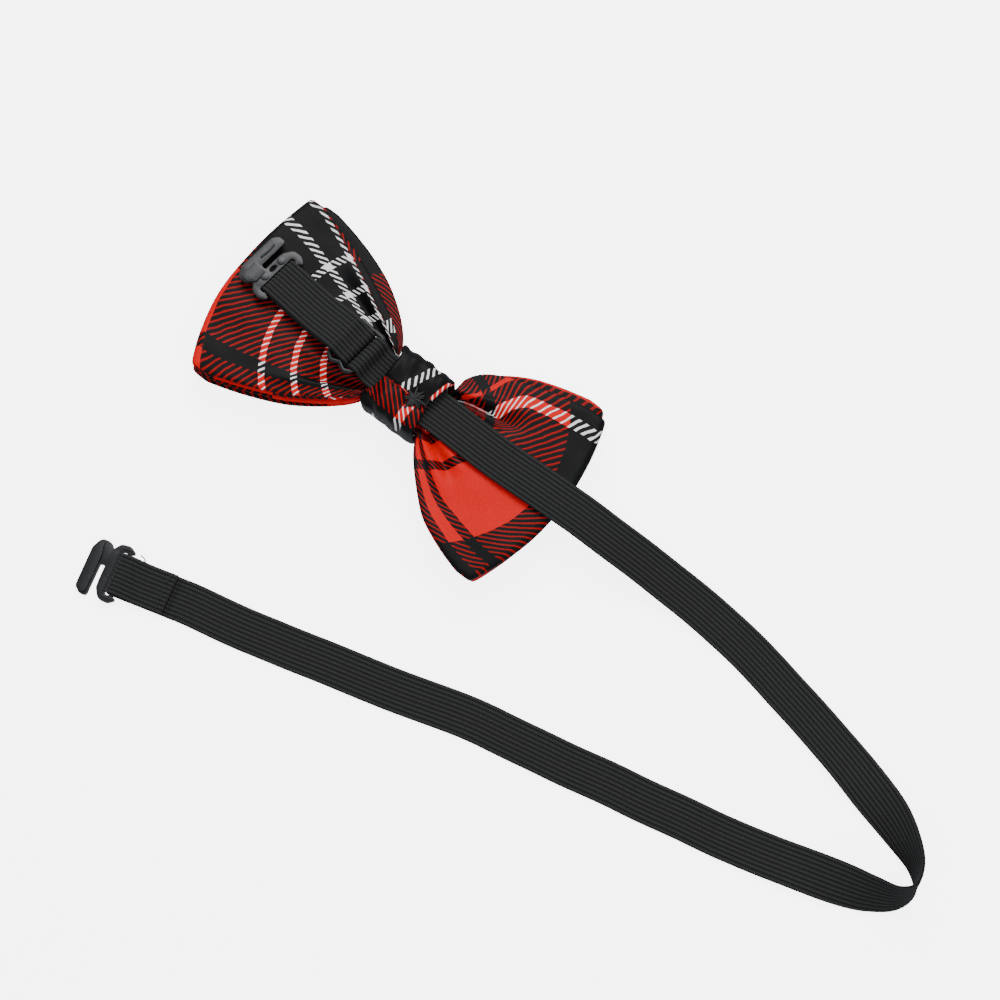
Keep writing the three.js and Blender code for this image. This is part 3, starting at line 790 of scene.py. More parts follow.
    def middle_line(self) -> list[Vector]:
        """Returns the loop's middle line, one point for each station."""
        return [self.place(i, 0.0, 0.0, 0.0, 0.0)[0] for i in range(len(self.stations))]

    def loop_length(self) -> float:
        """Returns the way round the loop on its middle line, in mm: the length that the cloth is cut to."""
        line = self.middle_line()
        return sum((after - before).length for before, after in zip(line, line[1:]))

    def waisted_area(self, inset: float) -> float:
        """Works out the flat area of a strip that is cut as narrow as the bow is at each place.

        Args:
            inset: How far it stops short of the sleeve's edges.

        Returns:
            The area, in mm2.
        """
        line = self.middle_line()
        area = 0.0
        for i in range(len(line) - 1):
            upper = self.place(i, 1.0, 0.0, inset, 0.0)[0]
            lower = self.place(i, -1.0, 0.0, inset, 0.0)[0]
            area += (line[i + 1] - line[i]).length * (upper.y - lower.y)
        return area

    def build(self, finishes: Finishes) -> None:
        """Makes the cover and its stiffener.

        Args:
            finishes: The tie's finishes.
        """
        length = self.loop_length() * MM
        cover = emit(f"{self.name}_sleeve", self.piece(self.thickness, 0, 0), self.finish,
                     "bow", [f"{self.name}_cover"])
        inner = emit(f"{self.name}_stiffener", self.piece(self.lining, self.margin, -0.3), finishes.lining,
                     "bow", [f"{self.name}_interlining"])
        self.waisted_area(self.margin) * MM * MM


@dataclass(frozen=True)
class Pleat:
    """A fold that runs out from the knot along a straight line and fades."""

    start: Point
    end: Point
    depth: float
    width: float                    # at its end; it is narrower at the knot
    fade: float = 0.35              # share of its length over which it fades out

    def lift(self, x: float, y: float) -> float:
        """Works out how far it moves the cloth.

        Args:
            x: Place along the bow, in mm.
            y: Place across it.

        Returns:
            The lift, in mm; below 0 is a hollow.
        """
        dx, dy = self.end[0] - self.start[0], self.end[1] - self.start[1]
        length = math.hypot(dx, dy)
        share = ((x - self.start[0]) * dx + (y - self.start[1]) * dy) / length ** 2
        if share < -0.1 or share > 1:
            return 0.0
        off = ((x - self.start[0]) * dy - (y - self.start[1]) * dx) / length
        width = self.width * (0.35 + 0.65 * max(0.0, share))
        shown = smooth((share + 0.1) / 0.12) * smooth((1 - share) / self.fade)
        return self.depth * hill(off, 0, width) * shown


PLEATS = (
    Pleat((14.8, 8.5), (40, 12.5), -2.9, 3.4, 0.5),      # hollow beside the neck band
    Pleat((14.8, 9.8), (42, 19.5), 1.1, 2.0, 0.5),
    Pleat((14.8, -4.2), (34, -12.8), -2.3, 1.5, 0.4),    # tuck on the lower half
    Pleat((14.8, -3.2), (38, -9.4), 1.2, 1.8, 0.5),
    Pleat((14.8, -6.6), (40, -21), 0.9, 2.2, 0.5),
    Pleat((-5.8, 8.4), (-38, 19.5), -1.2, 2.2, 0.5),
    Pleat((-5.8, 9.4), (-40, 25.5), 0.8, 2.2, 0.5),
    Pleat((-5.8, -5.4), (-26, -14.5), -2.6, 1.8, 0.45),  # deep shadow under the slider's corner
    Pleat((-5.8, -6.6), (-40, -25), 0.9, 2.2, 0.5),
    Pleat((-5.8, -4.4), (-44, -10), 0.5, 2.4, 0.5),
)


# -------------------------------------------------------------------------------- knot
@dataclass
class KnotWrap:
    """The wrap round the waist, its stiffener, the binding under it and the stitches that close it."""

    knot: Knot
    finishes: Finishes
    wall: float = 1.0
    corner: float = 4.2

    def _loop(self, inset: float) -> Route:
        """Lays out the rounded rectangle that a ring follows in the YZ plane, from the back's middle.

        Args:
            inset: How far inside the knot's box it runs.

        Returns:
            The closed route.
        """
        low, high, middle = self.knot.low, self.knot.high, self.knot.middle
        y0, y1, z0, z1 = low.y + inset, high.y - inset, low.z + inset, high.z - inset
        r = self.corner - inset
        points = [Vector((0, middle.y, z1))]
        corners = ((y1 - r, z1 - r, 90), (y1 - r, z0 + r, 0), (y0 + r, z0 + r, -90), (y0 + r, z1 - r, -180))
        for cy, cz, turn in corners:
            for i in range(5):
                angle = math.radians(turn - 22.5 * i)
                points.append(Vector((0, cy + r * math.cos(angle), cz + r * math.sin(angle))))
        return Route(points, closed=True)

    def _edge(self, y: float, z: float, side: int) -> float:
        """Works out the wrap's half width, which is pushed in where a band comes out of the back.

        Args:
            y: Place round the wrap.
            z: Height of that place.
            side: Which edge, -1 or 1.

        Returns:
            The half width, in mm.
        """
        back = smooth((z - 9) / 4)
        pushed = 2.5 if side < 0 else 1.4
        around = math.exp(-(((y - 3.0) / 8.8) ** 4)) if side < 0 else math.exp(-(((y - 1.0) / 8.6) ** 2))
        return 10 - pushed * back * around + 0.5 * back * (1 - around)

    def _dent(self, x: float, y: float, z: float) -> float:
        """Works out how far the wrap's surface is pushed in by the stitched pucker and soft gathers.

        Args:
            x: Place along the bow, in mm.
            y: Place across it.
            z: Height.

        Returns:
            The depth, in mm.
        """
        back = smooth((z - 10) / 3)
        pucker = 1.3 * hill(math.hypot(x - 8.6, (y + 0.6) * 0.8), 0, 2.6)
        seam = 0.55 * hill(y + 0.3 + 0.08 * x, 0, 0.7)
        folds = 0.28 * math.sin(x * 1.25 + 0.35 * y) + 0.22 * math.sin(x * 0.62 - 0.5 * y + 2)
        bulge = 0.5 * hill(math.hypot(x + 0.8, y - 3), 0, 3.2)
        strap = 2.6 * smooth((2 - x) / 7) * smooth((-1.5 - y) / 4)
        return back * (pucker + seam - bulge + strap) + folds * (0.35 + 0.5 * back)

    def _ring(self, bm: Mesh, inset: float, wall: float, cut_in: float, dents: float) -> None:
        """Adds a ring of cloth round the waist.

        Args:
            bm: The mesh to add to.
            inset: How far inside the knot's box it runs.
            wall: Its thickness.
            cut_in: How far its edges stop short of the wrap's.
            dents: Share of the wrap's dents that it follows.
        """
        route = self._loop(inset)
        centre = self.knot.middle.x

        def place(u: float, v: float) -> Placed:
            """Gives the point at a share of the way round the wall's section and round the ring."""
            across, height = flat_section(u, wall, 30)
            at, way = route.at(v)
            out = Vector((0, way.z, -way.y)) * -1
            side = 1 if across > 0 else -1
            x = centre + across * (self._edge(at.y, at.z, side) - cut_in)
            curl = 0.5 * wall * abs(across) ** 10
            point = at + out * (height - wall / 2 - curl - dents * self._dent(x, at.y, at.z))
            y = at.y if at.z > 8 else -at.y - 30
            lower = at.z > 8 and at.y < -0.3
            slant = x - 3.0 if lower else x - 0.42 * (at.y - 5)
            return Vector((x, point.y, max(point.z, 0.05))), (slant, y)

        skin(bm, 72, 220, place, closed=True)

    def build(self) -> None:
        """Makes the knot's pieces."""
        bm = bmesh.new()
        self._ring(bm, 0, self.wall, 0, 1)
        wrap = emit("knot_wrap_cover", bm, self.finishes.knot, "bow", ["knot_wrap"])
        bm = bmesh.new()
        self._ring(bm, self.wall + 1.2, 0.4, 1.4, 0.8)
        emit("knot_wrap_stiffener", bm, self.finishes.lining, "bow", ["knot_wrap_interlining"])
        self._edge_roll()
        self._stitches()
        self._binding()

    def _edge_roll(self) -> None:
        """Makes the wrap's turned edge, which shows a rolled line of red and white beside the neck band."""
        bm = bmesh.new()
        points = []
        for i in range(8):
            y = 11.4 - 1.3 * i
            x = self.knot.middle.x + self._edge(y, 15, 1) - 0.35
            z = 16.0 - 3.2 * smooth((y - 8.2) / 3.4) - 0.3 * smooth((-y) / 4)
            points.append((x, y, z))
        thread(bm, points, 1.15, 10)
        emit("knot_wrap_rolled_edge", bm, self.finishes.rolled_edge, "bow")

    def _stitches(self) -> None:
        """Makes the gathered bunch of closing stitches at the back."""
        bm = bmesh.new()
        x, y, z = 8.6, -0.6, 15.1
        for i in range(30):
            angle = i * 2.4
            length = 2.3 + 2.6 * noise.noise(Vector((i * 1.7, 2.2, 5.1))) + (0.9 if i % 3 == 0 else 0)
            dx, dy = math.cos(angle) * length, math.sin(angle) * length * 1.15
            top = z + 1.15 + 0.3 * math.sin(i * 1.9)
            thread(bm, [(x - dx * 0.25, y - dy * 0.25, z), (x + dx * 0.2, y + dy * 0.2, top),
                        (x + dx * 0.65, y + dy * 0.65, top - 0.15), (x + dx, y + dy, z + 0.1 + 0.1 * length)],
                   0.62 + 0.3 * noise.noise(Vector((i * 0.9, 7.7, 1.3))), 6)
        thread(bm, [(x, y, z + 0.4), (x + 0.3, y - 1.6, z + 1.2), (x - 0.4, y - 3.4, z + 0.9),
                    (x + 0.4, y - 4.4, z + 0.55)], 0.3, 6)
        thread(bm, [(x, y, z + 0.4), (x + 1.6, y + 0.2, z + 1.1), (x + 3.1, y - 1.3, z + 0.9)], 0.3, 6)
        emit("knot_closing_thread", bm, self.finishes.thread, "bow", ["knot_closing_stitches"])

    def _binding(self) -> None:
        """Makes the thread that binds the gathered waist and the one that tacks the bands' ends down."""
        bm = bmesh.new()
        turns, steps = 4, 8
        low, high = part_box("waist_binding_thread")
        y0, y1, z0, z1 = low.y / MM + 0.3, high.y / MM - 0.3, low.z / MM + 0.3, high.z / MM - 0.3
        points = []
        ring = ((y1, z1 - 1), (y1 - 1, z1), (WAIST_Y, z1), (y0 + 1, z1), (y0, z1 - 1), (y0, z0 + 1),
                (WAIST_Y, z0), (y1 - 0.4, z0 + 0.6))
        for i in range(turns * steps + 1):
            points.append((WAIST_X - 2.2 + 1.1 * i / steps, *ring[i % steps]))
        thread(bm, points, 0.6, 6, 1.5)
        emit("waist_binding", bm, self.finishes.thread, "bow", ["waist_binding_thread"])
        bm = bmesh.new()
        low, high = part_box("band_anchor_stitches")
        z = (low.z + high.z) / 2 / MM
        points = [(WAIST_X + (-1.5 if i % 2 else 1.5), low.y / MM + 0.3 + i * 1.34, z) for i in range(9)]
        thread(bm, points, 0.4, 6)
        emit("band_anchor_thread", bm, self.finishes.thread, "bow", ["band_anchor_stitches"])


# -------------------------------------------------------------------------------- elastic
@dataclass(frozen=True)
class Elastic:
    """Ribbed elastic, 13 mm by 1.1 mm, with ten ribs on each face."""

    width: float = 13.0
    thickness: float = 1.1
    ribs: int = 10
    groove: float = 0.5            # share of its half thickness that the gaps between ribs go down

    def add(self, bm: Mesh, route: Route, side_at: Callable[[float, Vector], Vector], along: int,
            start: float = 0.0, sway: Callable[[float], float] = lambda t: 0.0) -> None:
        """Adds a stretch of elastic.

        Args:
            bm: The mesh to add to.
            route: Its middle line, in mm.
            side_at: Direction of its width at a share of its length.
            along: Faces along it.
            start: Where it starts on the whole length, for its stitches.
            sway: How far its middle strays sideways at a share of its length.
        """
        def place(u: float, v: float) -> Placed:
            """Gives the point at a share of the way round and along."""
            across, height = flat_section(u, self.thickness, 18)
            ribbing = abs(math.cos(math.pi * self.ribs * (across + 1) / 2)) ** 5
            height *= 1 - self.groove * ribbing
            at, way = route.at(v)
            side = side_at(v, way)
            side = (side - way * side.dot(way)).normalized()
            up = way.cross(side).normalized()
            spread = across * self.width / 2 + sway(v)
            point = at + side * spread + up * height
            lowest = at.z - abs(side.z) * self.width / 2 - abs(up.z) * self.thickness / 2
            point.z -= min(0.0, lowest)
            return point, (across * self.width / 2 + self.width / 2, start + v * route.length)

        skin(bm, 168, along, place)


def arc(x: float, z: float, radius: float, start: float, end: float, count: int) -> list[Point]:
    """Lays out an arc.

    Args:
        x: Its centre.
        z: Its centre.
        radius: Its radius.
        start: Angle at its start, in degrees.
        end: Angle at its end.
        count: Segments.

    Returns:
        Its points, both ends included.
    """
    angles = [math.radians(start + (end - start) * i / count) for i in range(count + 1)]
    return [(x + radius * math.cos(a), z + radius * math.sin(a)) for a in angles]


@dataclass
class NeckBand:
    """The long elastic with its hem and its hook."""

    elastic: Elastic
    finishes: Finishes
    bar: Vector = field(default_factory=lambda: Vector((-29, -94.2, 2.1485)))
    heading: float = math.radians(196)
    hem: float = 17.0
    wrap_radius: float = 1.5985
    roll: Point = (0.37, 0.57)

    @property
    def out(self) -> Vector:
        """Direction in which the band ends."""
        return Vector((math.cos(self.heading), math.sin(self.heading), 0))

    @property
    def across(self) -> Vector:
        """Direction of the hook's bar."""
        return Vector((-math.sin(self.heading), math.cos(self.heading), 0))

    def route(self) -> Route:
        """Returns the middle line from the knot, over the wing, round the turn and back to the hem."""
        points = [
            (5.9, WAIST_Y, BAND_LEVEL), (12, WAIST_Y, BAND_LEVEL), (20, WAIST_Y, BAND_LEVEL),
            (38, 1.1, 12.65), (56, 1.6, 12.65),
            (70, 2.4, 11.25), (84, 3.2, 8.2), (99, 3.9, 4.2), (116, 3.8, 1.6), (134, 1.9, 0.75),
            (152, -1.4, 0.75), (170, -5.6, 1.6), (186, -10.2, 3.4), (199, -15.2, 5.2), (207.5, -20.4, 6.4),
            (210.5, -25.6, 6.9), (208.2, -30.4, 6.4), (201, -34.4, 5), (190, -37.8, 3.2), (176, -41.8, 1.6),
            (160, -46.2, 0.75), (143, -50, 0.55), (122, -54.6, 0.55), (100, -59.7, 0.55), (78, -64.4, 0.55),
            (56, -71.2, 0.55), (33, -77.6, 0.55), (10, -84, 0.55),
        ]
        floor = Vector((self.bar.x, self.bar.y, 0))
        ends = [floor - self.out * (self.hem + 4) + Vector((0, 0, 0.55)),
                floor - self.out * self.hem + Vector((0, 0, 0.65))]
        return Route([Vector(p) for p in points] + ends)

    def side_at(self, share: float, way: Vector) -> Vector:
        """Works out the direction of the band's width, which is level but turns over once at the turn.

        Args:
            share: Share of the band's length.
            way: The band's direction there.

        Returns:
            The direction across it.
        """
        turned = math.pi * smooth((share - self.roll[0]) / (self.roll[1] - self.roll[0]))
        level = Vector((-way.y, way.x, 0)).normalized()
        return level * math.cos(turned) + way.cross(level).normalized() * math.sin(turned)

    def build(self) -> None:
        """Makes the band, its hem, the hem's stitches and the hook."""
        route = self.route()
        bm = bmesh.new()
        self.elastic.add(bm, route, self.side_at, 300,
                         sway=lambda t: 0.25 * noise.noise(Vector((t * 30, 0.4, 1.5))) * smooth(t / 0.15))
        band = emit("neck_band_elastic", bm, self.finishes.elastic, "bow", ["neck_band"])
        hem = self._hem(route.length)
        stitches = self._hem_stitches()
        hook = Hook(self.finishes.hook, hand=-1).build("neck_band_hook", self.bar, self.heading,
                                                       math.radians(7), "neck_hook", "neck_hook")
        path = [route.at(i / 80)[0] * MM for i in range(81)]
        leaves = Vector((Knot().high.x, WAIST_Y, BAND_LEVEL)) * MM
        log.info("neck band: %.1f mm", route.length)

    def _hem(self, start: float) -> Piece:
        """Makes the band's end, which goes round the bar and back over itself.

        Args:
            start: Length of the band before it.

        Returns:
            The piece.
        """
        r, z, flat, top = self.wrap_radius, self.bar.z, 0.55, 1.95
        runs = [(-self.hem, flat + 0.1), (-r - 2, flat)]
        runs += arc(0, z, r, -90, 90, 6)
        runs += [(-r, z + r - 0.1), (-r - 5, top), (-self.hem + 1, top)]
        base = Vector((self.bar.x, self.bar.y, 0))
        route = Route([base + self.out * d + Vector((0, 0, h)) for d, h in runs])
        bm = bmesh.new()
        self.elastic.add(bm, route, lambda t, way: self.across, 60, start)
        return emit("neck_band_hem_fold", bm, self.finishes.elastic, "bow",
                    ["neck_band_hem"])

    def _hem_stitches(self) -> Piece:
        """Makes the row of stitches across the hem and the loose end of its thread."""
        bm = bmesh.new()
        base = Vector((self.bar.x, self.bar.y, 2.5)) - self.out * (self.hem - 3.2)
        sunk = Vector((0, 0, 0.3))
        lean = self.out * 0.16
        for i in range(7):
            at = base + self.across * (i - 3) * 1.75
            thread(bm, [at - self.across * 0.7 - lean - sunk, at - self.across * 0.35,
                        at + self.across * 0.35, at + self.across * 0.7 + lean - sunk], 0.36, 6)
        corner = Vector((self.bar.x, self.bar.y, 2.7)) - self.out * 5.4 - self.across * 6.1
        thread(bm, [corner, corner - self.across * 1.1 + self.out * 0.7 - sunk,
                    corner - self.across * 1.7 + self.out * 2.2 + sunk], 0.4, 6)
        return emit("neck_band_hem_thread", bm, self.finishes.thread, "bow",
                    ["neck_band_hem_stitches"])


# -------------------------------------------------------------------------------- hooks
def rounded(corners: Sequence[tuple[float, float, float]], hand: int = 1, steps: int = 5) -> list[Point]:
    """Rounds off the corners of an outline.

    Args:
        corners: For each corner its x, y and radius, in order round the outline.
        hand: -1 turns the outline over.
        steps: Segments in each corner.

    Returns:
        The outline's points.
    """
    points = []
    for i, (x, y, radius) in enumerate(corners):
        here = Vector((x, y))
        before = Vector(corners[i - 1][:2]) - here
        after = Vector(corners[(i + 1) % len(corners)][:2]) - here
        half = before.angle(after) / 2
        back = min(radius / math.tan(half), before.length * 0.48, after.length * 0.48)
        first, last = here + before.normalized() * back, here + after.normalized() * back
        for s in range(steps + 1):
            t = s / steps
            p = first * (1 - t) ** 2 + here * 2 * t * (1 - t) + last * t ** 2
            points.append((p.x, p.y * hand))
    return points


def plate(bm: Mesh, loops: Sequence[Sequence[Point]], bottom: float, top: float, bevel: float,
          segments: int = 3) -> None:
    """Adds a flat moulded plate with rounded rims.

    Args:
        bm: The mesh to add to.
        loops: Its outline, and then its holes.
        bottom: Height of its lower face.
        top: Height of its upper face.
        bevel: Radius of its rims.
        segments: Segments in each rim.
    """
    part = bmesh.new()
    edges = []
    for loop in loops:
        verts = [part.verts.new((x * MM, y * MM, bottom * MM)) for x, y in loop]
        edges += [part.edges.new((verts[i - 1], verts[i])) for i in range(len(verts))]
    bmesh.ops.triangle_fill(part, use_beauty=True, use_dissolve=False, edges=edges)
    base = bmesh.ops.extrude_face_region(part, geom=part.faces[:])
    raised = [g for g in base["geom"] if isinstance(g, bmesh.types.BMVert)]
    bmesh.ops.translate(part, verts=raised, vec=(0, 0, (top - bottom) * MM))
    bmesh.ops.recalc_face_normals(part, faces=part.faces)
    rims = [e for e in part.edges if len(e.link_faces) == 2 and e.calc_face_angle() > 1.2
            and abs(e.verts[0].co.z - e.verts[1].co.z) < 1e-6]
    bmesh.ops.bevel(part, geom=rims, offset=bevel * MM, offset_type="OFFSET", segments=segments, profile=0.5,
                    affect="EDGES", material=-1, clamp_overlap=True)
    for face in part.faces:
        face.smooth = True
    scratch = bpy.data.meshes.new("scratch")
    part.to_mesh(scratch)
    part.free()
    bm.from_mesh(scratch)
    bpy.data.meshes.remove(scratch)


@dataclass
class Hook:
    """A moulded plate: a bar for the band, a beam, a slot that is open at one end, and a finger."""

    finish: Material
    hand: int                       # end at which the bridge joins finger and beam
    thickness: float = 1.5
    bumps: bool = False

    def build(self, name: str, bar: Vector, heading: float, tilt: float, body: str, node: str) -> Piece:
        """Makes the plate and puts it in place.

        Args:
            name: The piece's name.
            bar: Middle of its bar, in mm.
            heading: Direction in which its finger lies.
            tilt: How far the finger's side is lowered.
            body: The body that it rides on.
            node: The CAD node that it stands for.

        Returns:
            The piece.
        """
        bm = bmesh.new()
        half = self.thickness / 2
        outline = rounded([
            (-1.4, -8.0, 0.9), (0.4, -9.2, 1.8), (3.4, -9.0, 2.4), (5.3, -6.0, 1.8), (5.5, -3.5, 0.5),
            (5.5, 1.2, 0.5), (7.3, 1.2, 0.5), (7.3, -9.3, 1.2), (9.8, -9.2, 1.6), (11.3, -7.4, 2.2),
            (11.5, 5.4, 3.2), (9.8, 8.6, 2.0), (6.6, 8.4, 1.8), (5.2, 6.6, 0.5), (3.6, 8.9, 2.4),
            (0.4, 9.2, 1.8), (-1.4, 8.0, 0.9), (-1.4, 7.2, 0.3), (-0.6, 7.0, 0.2), (-0.6, -7.0, 0.2),
            (-1.4, -7.2, 0.3)], self.hand)
        window = rounded([(0.6, -7, 0.3), (2.3, -7, 1.3), (2.3, 7, 1.3), (0.6, 7, 0.3)], self.hand)
        loops = [outline, window]
        if self.bumps:
            angles = [math.radians(20 * i) for i in range(18)]
            loops.append([(4.0 + 0.75 * math.cos(a), -0.6 + 1.45 * math.sin(a)) for a in angles])
        plate(bm, loops, -half, half, 0.42)
        if self.bumps:
            self._block_and_studs(bm, half)
        else:
            self._pad_and_ridge(bm, half)
        turned = Matrix.Rotation(heading, 4, "Z") @ Matrix.Rotation(tilt, 4, "Y")
        place = Matrix.Translation(bar * MM) @ turned
        bmesh.ops.transform(bm, matrix=place, verts=bm.verts)
        return emit(name, bm, self.finish, body, [node])

    def _block_and_studs(self, bm: Mesh, face: float) -> None:
        """Adds the raised block, two studs and the finger's rib.

        Args:
            bm: The mesh to add to.
            face: Height of the plate's upper face.
        """
        block = rounded([(4.7, 1.5, 0.6), (9.4, 1.5, 0.6), (9.4, 8.0, 1.2), (6.5, 7.9, 1.6), (4.7, 5.9, 0.5)],
                        self.hand)
        plate(bm, [block], face - 0.2, face + 0.55, 0.25)
        angles = [math.radians(18 * i) for i in range(20)]
        for y in (-4.0, 3.0):
            stud = [(3.98 + 1.2 * math.cos(a), (y + 1.2 * math.sin(a)) * self.hand) for a in angles]
            plate(bm, [stud], face - 0.2, face + 0.4, 0.38)
        thread(bm, [(9.2, -6.4 * self.hand, face - 0.1), (9.0, -3.6 * self.hand, face + 0.05),
                    (9.2, -0.6 * self.hand, face - 0.1)], 0.8)

    def _pad_and_ridge(self, bm: Mesh, face: float) -> None:
        """Adds the finger's raised pad and the ridge round the band's window.

        Args:
            bm: The mesh to add to.
            face: Height of the plate's upper face.
        """
        pad = rounded([(7.7, -9.0, 1.4), (11.3, -8.4, 2.8), (11.4, 5.2, 3.0), (9.9, 8.0, 1.4),
                       (8.6, 8.2, 0.6), (7.7, 3.5, 1.0)], self.hand)
        plate(bm, [pad], face - 0.2, face + 0.6, 0.28)
        ridge = [(-0.8, -7.9), (0.8, -7.9), (2.3, -7.6), (2.75, -6.4), (2.75, 0), (2.75, 6.4), (2.3, 7.6),
                 (0.8, 7.9), (-0.8, 7.9)]
        thread(bm, [(x, y * self.hand, face) for x, y in ridge], 0.5)


# -------------------------------------------------------------------------------- adjuster band
@dataclass
class AdjusterBand:
    """The short band.

    It goes over the slider's near bar, under its middle bar, over its far bar, round the catch's bar and back
    on top to the middle bar, where it is sewn. Its places are along the strap, from its pivot.
    """

    elastic: Elastic
    finishes: Finishes
    pivot: Vector = field(default_factory=lambda: Vector((-6.5, WAIST_Y, 0)))
    yaw: float = math.radians(-5.5)
    slider_z: float = 15.3485       # height of the slider's bars
    catch_z: float = 13.9485        # height of the catch's bar
    near: float = -4.35             # place of the slider's near bar
    side: float = 4.7485            # from one of the slider's bars to the next
    over: float = 1.75              # radius of the band's middle line over a side bar
    under: float = 2.9985           # and under the middle bar, outside the sewn end
    wrap: float = 1.5985            # and round a bar that it lies close on
    catch_x: float = -41.0

    @property
    def middle(self) -> float:
        """Place of the slider's middle bar along the strap."""
        return self.near - self.side

    @property
    def far(self) -> float:
        """Place of the slider's far bar along the strap."""
        return self.middle - self.side

    def world(self, x: float, y: float, z: float) -> Vector:
        """Brings a point of the strap's own frame into the tie's frame.

        Args:
            x: Place along the strap, in mm.
            y: Place across it.
            z: Height.

        Returns:
            The point, in mm.
        """
        c, s = math.cos(self.yaw), math.sin(self.yaw)
        return Vector((self.pivot.x + x * c - y * s, self.pivot.y + x * s + y * c, z))

    def run(self, name: str, pairs: Sequence[Point], along: int, node: Sequence[str], body: Optional[str],
            start: float = 0.0) -> Piece:
        """Makes one run of the band.

        Args:
            name: The piece's name.
            pairs: Points of its middle line, in the strap's own XZ plane.
            along: Faces along it.
            node: The CAD node that it stands for.
            body: The body that it rides on, or None to leave it on no body.
            start: Length of the band before it.

        Returns:
            The piece.
        """
        route = Route([self.world(x, 0, z) for x, z in pairs])
        width = self.world(0, 1, 0) - self.world(0, 0, 0)
        bm = bmesh.new()
        self.elastic.add(bm, route, lambda t, way: width, along, start)
        return emit(name, bm, self.finishes.elastic, body, node)

    def blend(self, piece: Piece, start: float, end: float) -> None:
        """Bakes a run's placement into its mesh; it follows no body.

        Args:
            piece: The run.
            start: Place along the strap; it is not used.
            end: Place along the strap; it is not used.
        """
        self.world(start, 0, 0) * MM
        self.world(end, 0, 0) * MM
        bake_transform(piece)

    def build(self) -> None:
        """Makes the band's runs, its stitches, the slider and the catch."""
        z, top = self.slider_z, self.catch_z
        root = self.run("adjuster_band_root_bend", [
            (9.5, BAND_LEVEL), (3, BAND_LEVEL), (0.4, BAND_LEVEL), (-1.0, 13.1), (-1.9, 13.65)], 24,
            ["adjuster_band_anchor"], None)
        self.blend(root, 1.3, -1.7)
        climb = self.run("adjuster_band_root_climb", [
            (-1.7, 13.5), (-2.0, 13.72), *arc(self.near, z, self.over, 50, 176, 5)], 40,
            ["adjuster_band_root_run"], None, 12)
        self.blend(climb, -2.0, self.near + 1.6)
        self.run("adjuster_band_under_middle", arc(self.middle, z, self.under, 2, -182, 10), 40,
                 ["adjuster_band_under_bar"], "slider", 20)
        lower = self.run("adjuster_band_lower_length", [
            *arc(self.far, z, self.over, 4, 130, 5), (self.far - 9, top - self.wrap + 0.6),
            (self.far - 15, top - self.wrap + 0.1), (self.catch_x + 2.4, top - self.wrap)], 48,
            ["adjuster_band_lower_run"], None, 30)
        self.blend(lower, self.far - 2.5, self.catch_x + 4)
        self.run("adjuster_band_catch_bend", [
            (self.catch_x + 2.9, top - self.wrap), *arc(self.catch_x, top, self.wrap, -90, -270, 8),
            (self.catch_x + 2.9, top + self.wrap)], 30, ["adjuster_band_end_bend"], "loop_end", 60)
        high = z + self.over + self.elastic.thickness + 0.3
        upper = self.run("adjuster_band_upper_length", [
            (self.catch_x + 2.4, top + self.wrap), (self.far - 10, top + self.wrap + 0.6),
            (self.far - 1.5, high - 0.1), (self.far + 1.6, high - 0.15)], 48,
            ["adjuster_band_upper_run"], None, 70)
        self.blend(upper, self.far - 0.5, self.catch_x + 4)
        self.run("adjuster_band_sewn_fold", [
            (self.far + 1.25, high - 0.12), *arc(self.middle, z, self.wrap, 105, -160, 10)], 40,
            ["adjuster_band_sewn_end"], "slider", 96)
        self._stitches(high)
        self._slider()
        Hook(self.finishes.catch, hand=1, bumps=True).build(
            "adjuster_band_catch", self.world(self.catch_x, 0, top), self.yaw + math.pi, 0.0, "catch",
            "adjuster_catch")

    def _stitches(self, high: float) -> None:
        """Makes the row of stitches across the sewn end.

        Args:
            high: Height of the sewn end's middle line.
        """
        bm = bmesh.new()
        for i in range(8):
            y = (i - 3.5) * 1.5
            points = [(self.far, y - 0.55, high + 0.2), (self.far + 0.06, y - 0.25, high + 0.42),
                      (self.far + 0.06, y + 0.25, high + 0.42), (self.far, y + 0.55, high + 0.2)]
            thread(bm, [self.world(*p) for p in points], 0.22, 6)
        emit("adjuster_band_end_thread", bm, self.finishes.thread, "slider",
             ["adjuster_band_end_stitches"])

    def _slider(self) -> None:
        """Makes the figure-eight slider: a frame with two scalloped lobes at each end, and a middle bar."""
        bm = bmesh.new()
        quarter = [(4.75, 3.0), (4.75, 5.2), (4.3, 7.0), (2.6, 8.1), (1.0, 7.5), (0.0, 6.9)]
        half = quarter + [(-x, y) for x, y in reversed(quarter[:-1])]
        ring = [(x, min(y, 7.1)) for x, y in half] + [(-x, -y) for x, y in half]
        frame_points = [self.world(self.middle + x, y, self.slider_z) for x, y in ring]
        thread(bm, frame_points, 1.6, 12, closed=True)
        thread(bm, [self.world(self.middle, y, self.slider_z) for y in (-7.4, -3, 3, 7.4)], 1.3, 12)
        emit("band_slider", bm, self.finishes.hook, "slider", ["slide_adjuster"])


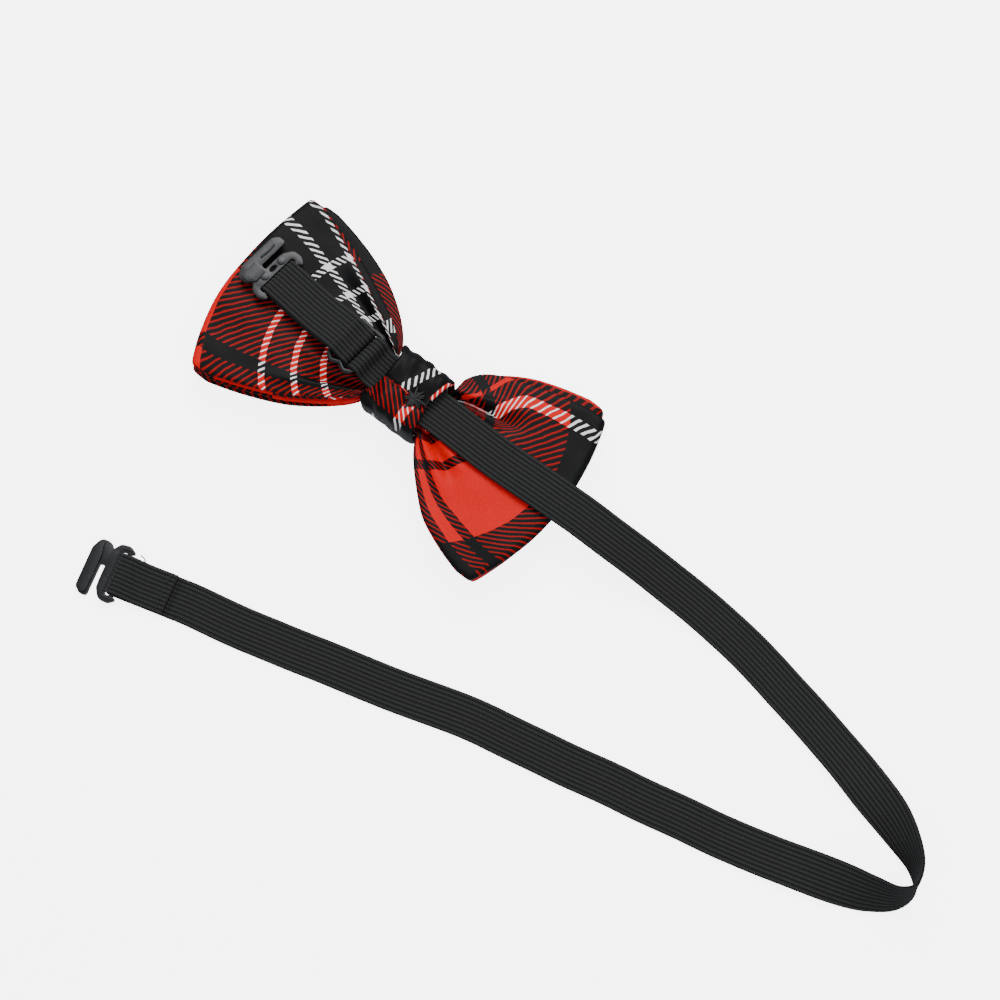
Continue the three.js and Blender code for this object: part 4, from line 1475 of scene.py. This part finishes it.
# -------------------------------------------------------------------------------- setting
@dataclass(frozen=True)
class Studio:
    """The camera, the pale floor and the soft lights."""

    look_at: Point = (45.3, -5.93)
    azimuth: float = math.radians(37.909)
    elevation: float = math.radians(74)
    distance: float = 710.8
    floor_glow: float = 5.0
    lamps: tuple = (("key", (-0.35, 0.55, 0.9), 0.7, 11.0), ("fill", (0.7, -0.2, 1.0), 0.9, 4.5))

    def camera(self) -> None:
        """Sets up the camera."""
        way = Vector((-math.sin(self.azimuth) * math.cos(self.elevation),
                      math.cos(self.azimuth) * math.cos(self.elevation), -math.sin(self.elevation)))
        data = bpy.data.cameras.new("camera")
        data.lens, data.sensor_width = 85, 36
        camera = bpy.data.objects.new("camera", data)
        camera.location = (Vector((*self.look_at, 0)) - way * self.distance) * MM
        camera.rotation_euler = way.to_track_quat("-Z", "Y").to_euler()
        bpy.context.scene.collection.objects.link(camera)
        bpy.context.scene.camera = camera

    def floor(self) -> None:
        """Makes the floor."""
        bm = bmesh.new()
        bmesh.ops.create_grid(bm, x_segments=1, y_segments=1, size=3)
        mesh = bpy.data.meshes.new("floor")
        bm.to_mesh(mesh)
        bm.free()
        material, tree = new_material("white_paper")
        place = add_node(tree, "ShaderNodeTexCoord")
        grain = add_node(tree, "ShaderNodeTexNoise", {"Vector": place.outputs["Object"], "Scale": 900.0})
        tone = add_node(tree, "ShaderNodeMix", {0: grain.outputs["Fac"], 6: linear("#F5F6F8"),
                                                7: linear("#FAFBFC")}, data_type="RGBA")
        surface(tree, {"Base Color": tone.outputs[2], "Roughness": 0.9, "Specular IOR Level": 0.2,
                       "Emission Color": linear("#FCFDFF"), "Emission Strength": self.floor_glow})
        mesh.materials.append(material)
        floor = bpy.data.objects.new("floor", mesh)
        # the floor's own light shows it pale and stays off the tie
        floor.visible_diffuse = False
        floor.visible_glossy = False
        bpy.context.scene.collection.objects.link(floor)

    def lights(self) -> None:
        """Sets up the world's light and two soft lamps."""
        world = bpy.data.worlds.new("studio")
        world.use_nodes = True
        background = world.node_tree.nodes["Background"]
        background.inputs["Color"].default_value = linear("#F6F8FF")
        background.inputs["Strength"].default_value = 0.7
        bpy.context.scene.world = world
        for name, place, size, power in self.lamps:
            data = bpy.data.lights.new(name, "AREA")
            data.size, data.energy = size, power
            lamp = bpy.data.objects.new(name, data)
            lamp.location = place
            lamp.rotation_euler = (Vector((0.04, 0, 0)) - lamp.location).to_track_quat("-Z", "Y").to_euler()
            bpy.context.scene.collection.objects.link(lamp)

    def build(self) -> None:
        """Sets up everything round the tie."""
        self.camera()
        self.floor()
        self.lights()


def main() -> None:
    """Builds the tie in order: setting, neck band, bows, knot and adjuster band."""
    logging.basicConfig(level=logging.INFO, format="%(message)s")
    Studio().build()
    finishes = Finishes.make()
    elastic = Elastic()
    NeckBand(elastic, finishes).build()
    even, full = (0.7, 0.25), (0.38, 0.12)
    front = (Wing(-1, 62.5, 1.4, (0.55, 0.28), (0.65, 0.25), (6.9, 8.6)),
             Wing(1, 61.8, 1.4, full, even, (8.6, 7.0)))
    back = (Wing(-1, 61.8, 0.4, even, even, (3.2, 8.2)),
            Wing(1, 62.9, -1.2, full, (0.6, 0.28), (6.2, 8.2)))
    Bow("front_bow", front, 33.0, waist_levels=(3.9, 6.0), wing_levels=(1.5, 5.7), give=(0.1, 0.45),
        finish=finishes.front_bow).build(finishes)
    Bow("back_bow", back, 31.8, waist_levels=(8.1, 10.2), wing_levels=(7.9, 10.6), give=(0.75, 1.0),
        finish=finishes.back_bow, trim=1.0).build(finishes)
    KnotWrap(Knot(), finishes).build()
    AdjusterBand(elastic, finishes).build()


if __name__ == "__main__":
    main()
